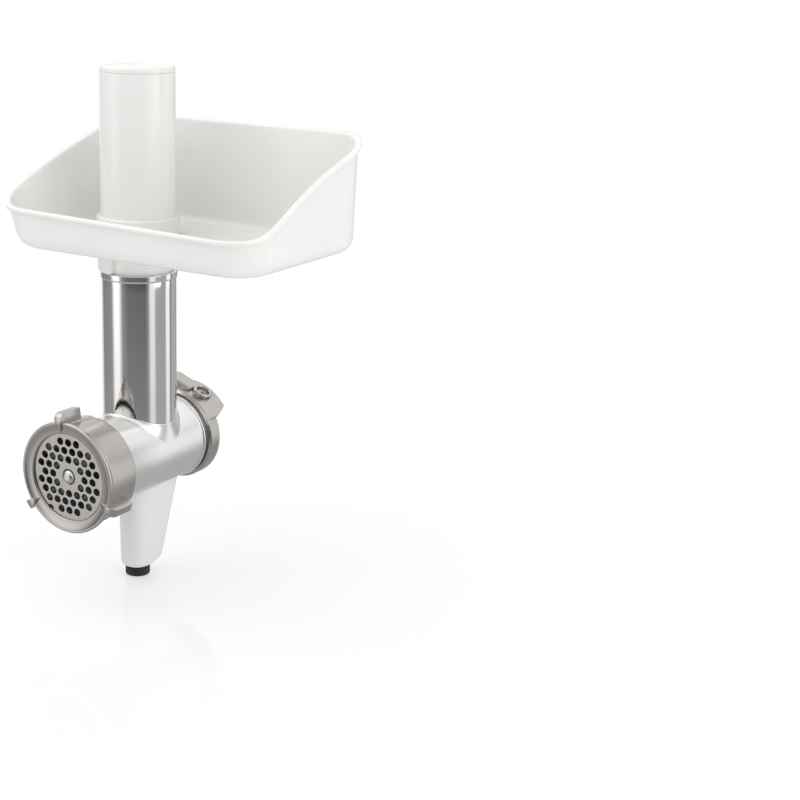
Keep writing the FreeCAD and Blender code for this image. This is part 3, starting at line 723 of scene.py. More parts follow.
# ---------------------------------------------------------------- tray and pusher
@dataclass
class Tray:
    """The moulded tray: a lopsided basin with a rolled rim, a seat collar and a spigot."""
    under: float = 143.0
    wall: float = 2.2
    left: float = -50.6
    right: float = 138.5
    front: float = -75.1
    rear: float = 58.5
    lean: tuple[float, float, float, float] = (0.17, 0.025, 0.18, 0.025)
    corners: tuple[float, float, float, float] = (30.0, 25.0, 28.0, 28.0)
    edge: float = 9.0
    stations: tuple[float, ...] = (-115.1, -75.1, -65.6, -54.6, -44.6, -20.0, 5.0, 30.0, 58.5, 83.5)
    rim_left: tuple[float, ...] = (28.4, 28.4, 31.4, 35.4, 39.6, 47.9, 55.5, 63.0, 72.4, 72.4)
    rim_right: tuple[float, ...] = (22.8, 22.8, 23.1, 26.4, 30.9, 43.9, 54.7, 63.0, 72.4, 72.4)
    roll: tuple[Pair, ...] = (
        (2.2, 1.9), (2.15, 1.2), (1.9, 0.6), (1.5, 0.2), (0.9, 0.02), (-0.3, 0.0), (-1.0, 0.1), (-1.6, 0.4),
        (-2.05, 0.9), (-2.3, 1.6), (-2.28, 2.2), (-2.05, 2.7), (-1.6, 3.05), (-1.0, 3.2), (-0.45, 3.35),
        (-0.12, 3.7))
    spigot_r: float = 22.4
    throat_r: float = 20.4
    spigot_foot: float = 100.1
    seat_r: float = 26.5
    seat_foot: float = 122.5
    seat_side: float = 95.4

    def rim_height(self, x: Array, y: Array) -> Array:
        """The rim line's height at places on the wall."""
        share = (x - self.left + 40.0) / (self.right - self.left + 80.0)
        at, last = np.array(self.stations), len(self.stations) - 1
        rises = [left + (right - left) * share for left, right in zip(self.rim_left, self.rim_right)]
        slopes = [np.zeros_like(share)]
        slopes += [(rises[k + 1] - rises[k - 1]) / (at[k + 1] - at[k - 1]) for k in range(1, last)]
        slopes.append(np.zeros_like(share))
        out = np.zeros_like(y)
        for k in range(last):
            width = at[k + 1] - at[k]
            t = np.clip((y - at[k]) / width, 0, 1)
            part = (rises[k] * (2 * t ** 3 - 3 * t ** 2 + 1) + slopes[k] * width * (t ** 3 - 2 * t ** 2 + t)
                    + rises[k + 1] * (3 * t ** 2 - 2 * t ** 3) + slopes[k + 1] * width * (t ** 3 - t ** 2))
            out = np.where((y >= at[k]) & (y <= at[k + 1]), part, out)
        return self.under + out

    def outline(self, angles: Array, height: Array, inset: float) -> Array:
        """Where rays from the throat meet the outside wall, drawn in by inset, at each height."""
        h = height - self.under
        x0, x1 = self.left - self.lean[0] * h + inset, self.right + self.lean[1] * h - inset
        y0, y1 = self.front - self.lean[2] * h + inset, self.rear + self.lean[3] * h - inset
        dx, dy = np.cos(angles), np.sin(angles)
        near, far = np.zeros_like(angles), np.full_like(angles, 320.0)
        fl, fr, rr, rl = (max(r - inset, 1.0) for r in self.corners)
        for _ in range(42):
            mid = 0.5 * (near + far)
            x, y = mid * dx, mid * dy
            radius = np.where(x > 0.5 * (x0 + x1), np.where(y > 0.5 * (y0 + y1), rr, fr),
                              np.where(y > 0.5 * (y0 + y1), rl, fl))
            qx = np.maximum(np.maximum(x0 + radius - x, x - x1 + radius), 0)
            qy = np.maximum(np.maximum(y0 + radius - y, y - y1 + radius), 0)
            outside = np.hypot(qx, qy) > radius
            far, near = np.where(outside, mid, far), np.where(outside, near, mid)
        return np.stack([near * dx, near * dy, height], 1)

    def rim_ring(self, angles: Array, inset: float, drop: float) -> Array:
        """A ring that follows the rim line, drawn in by inset and lowered by drop."""
        height = np.full_like(angles, self.under + 40.0)
        for _ in range(9):
            ring = self.outline(angles, height, inset)
            height = self.rim_height(ring[:, 0], ring[:, 1]) - drop
        return self.outline(angles, height, inset)

    def wall_rings(self, angles: Array, inset: float, start: float, drop: float, count: int) -> list[Array]:
        """Rings up a wall from a height above the underside to below the rim."""
        top = self.rim_ring(angles, inset, drop)
        rings = []
        for k in range(count):
            height = self.under + start + (top[:, 2] - self.under - start) * k / count
            rings.append(self.outline(angles, height, inset))
        return rings + [top]

    def angles(self) -> Array:
        """Angles round the throat, closer together at the corners and the seat's two ends."""
        base = list(np.radians(np.arange(0, 360, 1.25)))
        for x, y in ((self.left, self.front), (self.right, self.front), (self.right, self.rear),
                     (self.left, self.rear)):
            base += list(math.atan2(y * 0.9, x * 0.93) + np.radians(np.arange(-9, 9.1, 0.75)))
        for side in (self.seat_side, -self.seat_side):
            base += list(np.radians(side + np.array([-0.4, 0.0, 0.35, 0.7, 1.05, 1.4, 1.8])
                                    * (1 if side > 0 else -1)))
        turns = np.unique(np.round(np.mod(base, 2 * math.pi), 4))
        keep = [turns[0]]
        for turn in turns[1:]:
            if turn - keep[-1] > math.radians(0.22):
                keep.append(turn)
        return np.array(keep)

    def seat_radius(self, angles: Array, shrink: float) -> Array:
        """The seat collar's radius on the left side and the spigot's on the right."""
        turn = np.degrees(np.abs(np.mod(angles + math.pi, 2 * math.pi) - math.pi))
        step = np.clip((turn - self.seat_side) / 1.4, 0, 1)
        step = step * step * (3 - 2 * step)
        return self.spigot_r + (self.seat_r - shrink - self.spigot_r) * step

    def build(self) -> Piece:
        """Makes the tray's mesh."""
        angles = self.angles()

        def circle(radius: Reach, height: float) -> Array:
            return ring_at(Axis.ALONG_Z, radius, height, angles)

        def level(height: float, inset: float) -> Array:
            return self.outline(angles, np.full_like(angles, height), inset)

        floor = self.under + self.wall
        rings = [circle(self.throat_r, z) for z in np.linspace(self.spigot_foot + 0.8, floor - 0.9, 8)]
        rings += [circle(self.throat_r + 0.9 - 0.9 * math.cos(a), floor - 0.9 + 0.9 * math.sin(a))
                  for a in np.radians((22.5, 45.0, 67.5, 90.0))]
        inner_edge = self.edge - self.wall
        flat, start = level(floor, self.edge), circle(self.throat_r + 1.5, floor)
        for k in range(9):
            rings.append(start + (flat - start) * (k / 8.0) ** 0.85)
        for turn in np.radians(11.25 * np.arange(1, 9)):
            rings.append(level(self.under + self.edge - inner_edge * math.cos(turn),
                               self.edge - inner_edge * math.sin(turn)))
        rings += self.wall_rings(angles, self.wall, self.edge + 0.6, 3.8, 10)
        rings += [self.rim_ring(angles, inset, drop) for inset, drop in self.roll]
        rings += self.wall_rings(angles, 0.0, self.edge + 0.3, 4.4, 10)[::-1]
        for turn in np.radians(11.25 * np.arange(9)):
            rings.append(level(self.under + self.edge - self.edge * math.sin(turn),
                               self.edge - self.edge * math.cos(turn)))
        under = level(self.under, self.edge)
        plain = self.seat_radius(angles, 0.0)
        seat = circle(plain + 1.2, self.under)
        rings += [under + (seat - under) * (k / 7.0) for k in range(1, 8)]
        rings += [circle(plain + 1.2 * (1 - math.sin(a)), self.under - 1.2 * (1 - math.cos(a)))
                  for a in np.radians((30, 60, 90))]
        rings += [circle(plain, z) for z in np.linspace(self.under - 2.5, self.seat_foot + 0.9, 5)]
        rings += [circle(self.seat_radius(angles, 0.7 * (1 - math.cos(a))),
                         self.seat_foot + 0.7 * (1 - math.sin(a))) for a in np.radians((20, 45, 70, 90))]
        drops = [self.seat_foot - 0.05, self.seat_foot - 1.5]
        drops += list(np.linspace(self.seat_foot - 4, self.spigot_foot + 1.2, 5))
        rings += [circle(self.spigot_r, z) for z in drops]
        rings += [circle(self.spigot_r - 0.5 * (1 - math.cos(a)), self.spigot_foot + 0.5 * (1 - math.sin(a)))
                  for a in np.radians((0, 45, 90))]
        rings.append(circle(self.throat_r + 0.3, self.spigot_foot))
        rings.append(circle(self.throat_r, self.spigot_foot + 0.3))
        made = mesh_object("tray_basin", *skin(rings, close_along=True), sharp=50.0)
        return finish_piece(made, WHITE, "tray_body", ["tray"])


@dataclass
class Pusher:
    """The hollow pusher with its stop flange, and the cap that closes it."""
    foot: float = 36.0
    plunger_r: float = 19.8
    flange_low: float = 145.55
    flange_high: float = 158.1
    flange_r: float = 27.0
    body_r: float = 24.2
    top: float = 250.0
    cap: float = 4.0

    def build(self) -> list[Piece]:
        """Makes the pusher and its cap."""
        low, high = self.flange_low, self.flange_high
        side, top = self.body_r, self.top
        body = lathe("pusher_tube", Axis.ALONG_Z, [
            (0, self.foot, 0), (self.plunger_r, self.foot, 1.6), (self.plunger_r, low, 0.4),
            (self.flange_r, low, 0.7), (self.flange_r, high, 1.1), (side + 0.25, high, 0.5),
            (side, high + 3.0, 6.0), (side, top - 0.6, 0), (side - 0.5, top - 0.05, 0),
            (0, top - 0.05, 0)], 160)
        finish_piece(body, WHITE, "pusher_body", ["pusher"])
        lid = lathe("pusher_lid", Axis.ALONG_Z, [
            (0, top, 0), (side - 0.5, top, 0), (side, top + 0.5, 0.2), (side, top + self.cap, 1.5),
            (side - 5.0, top + self.cap, 0.6), (side - 5.8, top + self.cap - 0.8, 0.6),
            (0, top + self.cap - 0.8, 0)], 160)
        return [body, finish_piece(lid, WHITE, "pusher_body", ["pusher_cap"])]


# ---------------------------------------------------------------- barrel and feed tube
@dataclass
class Barrel:
    """The barrel with its bead and rear spigot, the feed tube on its saddle, and the thread collar."""
    radius: float = 28.0
    wall: float = 1.8
    back: float = 35.0
    end_wall: float = 3.0
    flare_start: float = -14.0
    flare_end: float = -52.5
    flare: float = 2.6
    bead: float = 29.0
    spigot_r: float = 26.2
    spigot_back: float = 40.6
    bush_r: float = 11.0
    tube_r: float = 24.4
    tube_wall: float = 1.5
    tube_top: float = 122.1
    band_r: float = 25.2
    band_h: float = 4.5
    neck: Pair = (21.5, 29.2)
    neck_reach: Pair = (3.0, 1.6)
    collar_r: float = 32.1
    collar_front: float = -70.5
    seat: float = -67.3
    plate_room: float = 30.2
    knife_room: float = 27.2
    thread_pitch: float = 3.5
    thread_depth: float = 1.0

    def outside(self, y: Array) -> Array:
        """The barrel's outside radius along its length."""
        share = np.clip((self.flare_start - y) / (self.flare_start - self.flare_end), 0, 1)
        return self.radius + self.flare * share ** 1.6

    def saddle(self, x: Array, y: Array) -> Array:
        """The height of the barrel's top over a point."""
        return np.sqrt(np.maximum(self.outside(y) ** 2 - x ** 2, 1.0))

    def build_barrel(self) -> Piece:
        """Makes the barrel with its feed opening."""
        bore = self.radius - self.wall
        places = np.linspace(self.flare_end, self.flare_start, 16)
        outline = [(float(self.outside(np.array(y))), float(y)) for y in places]
        back, spigot, inner = self.back, self.spigot_r, self.spigot_r - self.wall
        tail = rounded([(self.radius, self.flare_start + 4, 0), (self.radius, back - 1.9, 0.5),
                        (self.bead, back - 1.5, 0.45), (self.bead, back - 0.1, 0.45),
                        (self.bead - 0.7, back, 0.3), (spigot, back, 0.4), (spigot, self.spigot_back, 0.4),
                        (inner, self.spigot_back, 0.4), (inner, back, 0.8), (self.bush_r, back, 0),
                        (self.bush_r, back - self.end_wall, 0), (bore, back - self.end_wall, 0.8),
                        (bore, self.flare_end, 0)], closed=False)
        made = turned("barrel_shell", Axis.ALONG_Y, outline + tail, 192)
        feed = self.tube_r - self.tube_wall
        opening = turned("opening", Axis.ALONG_Z, [(0, 0), (feed, 0), (feed, 45), (0, 45)], 128, closed=False)
        cut(made, opening, 30.0)
        made = joined("barrel_shell", [made, self.build_neck()])
        shade(made.data, 34.0)
        return finish_piece(made, SATIN_STEEL, "housing", ["barrel"])

    def joint(self, angles: Array) -> Array:
        """The height of the seam between the neck and the tube, lower at the sides."""
        return self.neck[0] + (self.neck[1] - self.neck[0]) * np.sin(angles) ** 2

    def build_neck(self) -> Piece:
        """Makes the neck that the barrel's wall draws up round the tube."""
        angles = even_angles(192)
        side = np.cos(angles) ** 2
        reach = self.tube_r + self.neck_reach[1] + (self.neck_reach[0] - self.neck_reach[1]) * side
        foot = self.saddle(reach * np.cos(angles), reach * np.sin(angles)) - 0.4
        top = self.joint(angles)
        start = self.tube_r + 0.25
        line = [(start + (reach - self.tube_r - 0.25) * t ** 1.35, top - 0.2 + (foot - top + 0.2) * t)
                for t in np.linspace(0, 1, 14) ** 1.3]
        line += [(self.tube_r - 1.2, foot - 0.5), (self.tube_r - 1.2, top - 0.6), (self.tube_r - 0.4, top),
                 (self.tube_r + 0.1, top)]
        rings = [ring_at(Axis.ALONG_Z, radius, height, angles) for radius, height in line]
        return mesh_object("neck", *skin(rings, close_along=True))

    def build_tube(self) -> Piece:
        """Makes the feed tube, which stands in the neck."""
        angles = even_angles(224)
        cos, sin = np.cos(angles), np.sin(angles)
        foot = self.joint(angles) - 1.0
        outer, inner, top = self.tube_r, self.tube_r - self.tube_wall, self.tube_top
        base = self.saddle(cos * inner, sin * inner) - 1.0
        line = [(outer, foot + (top - 1.0 - foot) * share) for share in (0.0, 0.02, 0.1, 0.3, 0.5, 0.7, 0.9)]
        line += [(outer, top - 0.9), (outer - 0.1, top - 0.35), (outer - 0.4, top - 0.05),
                 (outer - 1.1, top - 0.05), (inner + 0.1, top - 0.35), (inner, top - 0.9)]
        line += [(inner, base + (top - 2.0 - base) * share) for share in (0.9, 0.6, 0.3, 0.0)]
        rings = [ring_at(Axis.ALONG_Z, radius, height, angles) for radius, height in line]
        made = mesh_object("feed_tube_shell", *skin(rings, close_along=True))
        return finish_piece(made, MIRROR_STEEL, "housing", ["feed_tube"])

    def build_band(self) -> Piece:
        """Makes the band round the tube's rim."""
        low, high = self.tube_top - self.band_h, self.tube_top
        made = lathe("rim_band_ring", Axis.ALONG_Z, [
            (self.tube_r + 0.02, low, 0.1), (self.band_r - 0.2, low, 0.3), (self.band_r, low + 1.0, 0.8),
            (self.band_r, high, 0.6), (self.tube_r + 0.02, high, 0.1)], 192, True)
        return finish_piece(made, MIRROR_STEEL, "housing", ["rim_band"])

    def build_collar(self) -> Piece:
        """Makes the collar with its thread, the plate's seat and the knife room."""
        angles = even_angles(160)
        bore = self.radius - self.wall
        front, back, seat = self.collar_front, self.flare_end, self.seat
        rings = [ring_at(Axis.ALONG_Y, r, y, angles) for r, y in (
            (bore, back), (bore, seat + 9), (self.knife_room, seat + 8), (self.knife_room, seat),
            (self.plate_room, seat), (self.plate_room, front + 0.3), (self.plate_room + 0.3, front),
            (self.collar_r - self.thread_depth - 0.3, front))]
        for y in np.linspace(front + 0.3, back - 1.6, 46):
            turn = np.mod(y / self.thread_pitch + angles / (2 * math.pi), 1.0)
            crest = np.clip(np.abs(turn - 0.5) * 4.0 - 0.5, 0, 1)
            ease = np.clip(min(y - front, back - 1.0 - y) / 1.6, 0, 1)
            radius = self.collar_r - self.thread_depth * (1 - crest * ease)
            rings.append(ring_at(Axis.ALONG_Y, radius, y, angles))
        rings.append(ring_at(Axis.ALONG_Y, self.collar_r - 1.2, back - 0.7, angles))
        made = mesh_object("threaded_collar", *skin(rings, close_along=True), sharp=55.0)
        return finish_piece(made, SATIN_STEEL, "housing", ["thread_collar"])

    def build(self) -> list[Piece]:
        """Makes every piece."""
        return [self.build_barrel(), self.build_tube(), self.build_band(), self.build_collar()]


# ---------------------------------------------------------------- front: ring and plate
@dataclass
class ScrewRing:
    """The screw ring: a rolled rim, a dished bevel, recesses and three lugs."""
    bore: float = 32.4
    outer: float = 34.9
    taper: float = 0.9
    rim: float = 36.4
    mouth: float = 28.4
    back: float = -47.1
    lip: float = -72.9
    front: float = -75.4
    recess: float = 1.1
    recess_span: float = 34.0
    lugs: int = 3
    first: float = 97.5
    lug_r: float = 42.2
    lug_w: float = 5.6
    lug_back: float = -57.4

    def outline(self) -> list[Pair]:
        """The ring's section, from the bore's back round the front to the outside's back."""
        front = self.front
        dish = [(self.mouth + 0.55 + 5.3 * t, self.lip - 1.15 - 0.95 * t ** 1.7)
                for t in np.linspace(0, 1, 9)]
        rim = rounded([(34.0, front + 0.35, 0), (34.75, front + 0.05, 0.5), (self.rim - 0.45, front, 0.6),
                       (self.rim, front + 0.8, 0.7), (self.rim, front + 2.3, 0.6),
                       (self.rim - 0.9, front + 3.0, 0.5), (self.outer - 0.9, front + 3.5, 0.5),
                       (self.outer, front + 4.6, 0.6),
                       (self.outer - self.taper, self.back - 0.05, 0.7), (self.bore, self.back, 0.5),
                       (self.bore, self.lip, 0.3), (self.mouth, self.lip, 0.2),
                       (self.mouth, self.lip - 0.75, 0.35), (self.mouth + 0.5, self.lip - 1.15, 0.2)],
                      closed=False)
        return dish + rim[1:-1]

    def angles(self) -> Array:
        """Angles round the ring, closer together at the ends of the recesses."""
        base = list(np.arange(0, 360, 2.0))
        for k in range(self.lugs):
            lug = self.first + 360.0 / self.lugs * k
            for end in (lug - 6.0, lug - 6.0 - self.recess_span):
                base += list(end + np.array([-1.6, -1.1, -0.7, -0.35, 0.0, 0.35, 0.7, 1.1, 1.6]))
        turns = np.unique(np.round(np.mod(base, 360.0), 3))
        keep = [t for i, t in enumerate(turns) if i == 0 or t - turns[i - 1] > 0.2]
        return np.radians(np.array(keep))

    def sunk(self, angles: Array) -> Array:
        """How deep each angle lies in a recess, from 0 to 1."""
        turn = np.degrees(angles)
        out = np.zeros_like(turn)
        for k in range(self.lugs):
            lug = self.first + 360.0 / self.lugs * k
            middle = lug - 6.0 - self.recess_span / 2
            away = np.abs(np.mod(turn - middle + 180.0, 360.0) - 180.0)
            step = np.clip((self.recess_span / 2 + 0.7 - away) / 1.4, 0, 1)
            out = np.maximum(out, step * step * (3 - 2 * step))
        return out

    def lug(self) -> Piece:
        """Makes one lug at +X: a round-topped rib whose nose thins out down the dished bevel."""
        side = [(33.2, self.lug_back), (self.lug_r - 0.9, self.lug_back), (self.lug_r, self.lug_back - 1.0),
                (self.lug_r, -71.8), (self.lug_r - 0.7, -74.4), (self.lug_r - 2.6, -76.1),
                (36.3, -76.6), (33.4, -76.2), (31.0, -75.3), (29.0, -74.0), (31.5, -73.2), (33.2, -72.4)]
        half = [0.5 * self.lug_w * (float(np.clip((r - 28.8) / 8.5, 0.03, 1.0)) if y < -73.0 else 1.0)
                for r, y in side]
        ends = [[(r, y, sign * w) for (r, y), w in zip(side, half)] for sign in (1, -1)]
        return prism("lug", *ends, 1.5, 28)

    def build(self) -> Piece:
        """Makes the ring with its lugs."""
        angles = self.angles()
        sunk = self.sunk(angles)
        rings = []
        for r, y in self.outline():
            side = float(np.clip((y - (self.front + 4.2)) / 0.8, 0, 1)) if r > self.bore + 0.7 else 0.0
            rings.append(ring_at(Axis.ALONG_Y, r - self.recess * side * sunk, y, angles))
        ring = mesh_object("ring", *skin(rings, close_along=True), sharp=42.0)
        lugs = ring_of_copies("lugs", self.lug(), self.lugs, self.first, CAST_STEEL.build())
        made = joined("lugged_ring", [ring, lugs])
        shade(made.data, 42.0)
        return finish_piece(made, CAST_STEEL, "ring", ["screw_ring"])


@dataclass
class HolePlate:
    """The hole plate, with rows of holes set in a triangle pattern."""
    radius: float = 29.9
    front: float = -72.6
    back: float = -67.6
    hole_r: float = 2.5
    pitch: float = 6.5
    centre_r: float = 5.0
    first: float = 10.4
    last: float = 23.7
    notch_r: float = 2.5
    notch_angle: float = 237.0
    notch_at: float = 28.75

    def cutter(self, radius: float, ease: float, name: str) -> Piece:
        """A round cutter about the worm's axis whose two ends open out."""
        low, high = self.front, self.back
        outline = [(0, low - 1), (radius + ease + 1, low - 1), (radius, low + ease), (radius, high - ease),
                   (radius + ease + 1, high + 1), (0, high + 1)]
        return turned(name, Axis.ALONG_Y, outline, 28, closed=False)

    def plan(self, cutter: Piece) -> Plan:
        """The tree that sets the cutters in rows and takes them out of the plate."""
        rows = int(self.radius / (self.pitch * math.sqrt(0.75)))
        plan = Plan("hole_rows", {"Pitch": ("NodeSocketFloat", self.pitch * MM),
                                  "First": ("NodeSocketFloat", self.first * MM),
                                  "Last": ("NodeSocketFloat", self.last * MM),
                                  "Cutter": ("NodeSocketObject", cutter)})
        across = 2 * rows + 3
        points = plan.node("GeometryNodePoints", inputs={"Count": across * (2 * rows + 1)})
        index = plan.node("GeometryNodeInputIndex")
        row = (index / across).floor() - rows
        column = index.rest(across) - (rows + 1)
        x = (column + row.rest(2) * 0.5) * plan.given("Pitch")
        z = row * plan.given("Pitch") * math.sqrt(0.75)
        reach = (x * x + z * z).root()
        spot = plan.node("ShaderNodeCombineXYZ", inputs={0: x, 2: z})
        inside = reach.above(plan.given("First")) * reach.below(plan.given("Last"))
        moved = plan.node("GeometryNodeSetPosition", inputs={"Geometry": points, "Offset": spot})
        drills = plan.copies(moved, "Cutter", Selection=inside)
        real = plan.node("GeometryNodeRealizeInstances", inputs={0: drills})
        bored = plan.node("GeometryNodeMeshBoolean", {"operation": "DIFFERENCE", "solver": "EXACT"},
                          {"Mesh 1": plan.given("Geometry"), "Mesh 2": real})
        plan.close(bored, PLATE_STEEL.build())
        return plan

    def build(self) -> Piece:
        """Makes the plate."""
        made = lathe("plate", Axis.ALONG_Y, [(0, self.front, 0), (self.radius, self.front, 0.5),
                                             (self.radius, self.back, 0.5), (0, self.back, 0)], 144, steps=3)
        cut(made, self.cutter(self.centre_r, 0.35, "centre"))
        notch = self.cutter(self.notch_r, 0.2, "notch")
        turn = math.radians(self.notch_angle)
        aside = Vector((math.cos(turn), 0, math.sin(turn))) * self.notch_at * MM
        notch.data.transform(Matrix.Translation(aside))
        cut(made, notch)
        drill = self.cutter(self.hole_r, 0.15, "drill")
        self.plan(drill).apply(made, 30.0)
        bpy.data.objects.remove(drill)
        made.name = "perforated_plate"
        return finish_piece(made, PLATE_STEEL, "plate", ["hole_plate"])


# ---------------------------------------------------------------- rear coupling
@dataclass
class Coupling:
    """The rear bayonet ring with its hood, its round pocket and its claws."""
    front: float = 37.6
    mouth: float = 48.6
    outer: float = 31.0
    wall: float = 3.2
    spigot_r: float = 26.2
    web: float = 3.0
    hood_r: float = 34.2
    hood_front: float = 39.7
    hood_back: float = 58.0
    half_span: float = 64.0
    corner: float = 11.0
    block_top: float = 38.9
    block_left: float = 13.0
    boss_r: float = 6.8
    pocket_r: float = 4.6
    pocket_depth: float = 3.6
    pocket_angle: float = 62.0
    claws: int = 3
    claw_span: float = 22.0
    claw_height: float = 2.0
    claw_t: float = 3.0

    def band(self) -> Piece:
        """Makes the band with its web."""
        inner = self.outer - self.wall
        fit, web = self.spigot_r + 0.02, self.front + self.web
        return lathe("band", Axis.ALONG_Y, [
            (fit, self.front, 0.3), (self.outer - 1.6, self.front, 0.5), (self.outer, self.front + 1.6, 0.8),
            (self.outer, self.mouth, 0.9), (inner, self.mouth, 0.6), (inner, web, 0.8), (fit, web, 0.2)],
            192, True)

    def flare(self, y: float) -> float:
        """The hood's outside radius along its length."""
        share = (y - self.hood_front) / (self.hood_back - 4.0 - self.hood_front)
        return self.outer + 0.2 + (self.hood_r - self.outer - 0.2) * min(1.0, max(0.0, share))

    def boss(self) -> Piece:
        """Makes the round boss with its dished pocket, upright about the feed tube."""
        top = self.hood_r + 1.0
        deep = top - self.pocket_depth
        return lathe("boss", Axis.ALONG_Z, [
            (0, 29.5, 0), (self.boss_r, 29.5, 0.2), (self.boss_r, top, 0.9), (self.pocket_r, top, 0.7),
            (self.pocket_r - 0.7, deep, 1.0), (0, deep, 0)], 56)

    def block(self) -> Piece:
        """Makes the block on the hood's top, with eased edges."""
        turn = math.radians(74)
        start = (self.hood_r * math.cos(turn), self.hood_r * math.sin(turn))
        side = [start, (-7.0, self.block_top), (-self.block_left, self.block_top),
                (-self.block_left - 3.0, 28.6), (start[0] - 1.0, 28.6)]
        ends = [[(x, y, z) for x, z in side] for y in (self.hood_front + 3.0, self.hood_back - 3.0)]
        return prism("block", *ends, 1.2, 20)

    def hood(self) -> Piece:
        """Makes the flared hood over the top half, with cut corners, a boss and a block."""
        inner = self.outer - self.wall
        steps = 96
        rings = []
        for k in range(steps + 1):
            angle = math.radians(90 - self.half_span + 2 * self.half_span * k / steps)
            along = math.radians(min(k, steps - k) / steps * 2 * self.half_span) * self.hood_r
            back = self.hood_back - self.corner * max(0.0, 1 - 2 * along / self.corner)
            soft = 0.7 * max(0.0, 1 - along / 1.0) ** 2
            front = self.hood_front
            section = rounded([(inner, front, 0.2), (self.flare(front), front, 0.2),
                               (self.flare(back) - soft, back, 0.9), (inner, back, 0.7)], steps=4)
            rings.append(spoke(section, angle))
        made = mesh_object("hood", *skin(rings, cap_start=True, cap_end=True))
        bore = self.boss_r - 1.0
        seat = turned("seat", Axis.ALONG_Z, [(0, 30.5), (bore, 30.5), (bore, 42), (0, 42)], 48, closed=False)
        boss = self.boss()
        tilt = Matrix.Rotation(math.radians(90 - self.pocket_angle), 4, "Y")
        middle = 0.5 * (self.hood_front + self.hood_back)
        for piece in (seat, boss):
            piece.data.transform(Matrix.Translation((0, -TUBE_AXIS_Y, 0)))
            piece.data.transform(tilt)
            piece.data.transform(Matrix.Translation((0, TUBE_AXIS_Y + middle * MM, 0)))
        return joined("hood", [cut(made, seat), boss, self.block()])

    def claw(self) -> Piece:
        """Makes one claw at +X, with a lead-in ramp."""
        inner = self.outer - self.wall
        rings = []
        for k in range(13):
            angle = math.radians(-self.claw_span / 2 + self.claw_span * k / 12)
            ramp = 0.8 * max(0.0, 1 - k / 3.0)
            low, high = self.mouth - self.claw_t + ramp, self.mouth - 0.02
            root, tip = inner + 0.6, inner - self.claw_height
            corners = [(root, low, 0.2), (tip, low, 0.5), (tip, high, 0.6), (root, high, 0.2)]
            rings.append(spoke(rounded(corners, steps=3), angle))
        return mesh_object("claw", *skin(rings, cap_start=True, cap_end=True))

    def build(self) -> Piece:
        """Makes the coupling."""
        claws = ring_of_copies("claws", self.claw(), self.claws, 90.0, CAST_STEEL.build())
        made = joined("bayonet_ring", [self.band(), self.hood(), claws])
        shade(made.data, 40.0)
        return finish_piece(made, CAST_STEEL, "housing", ["coupling_ring"])


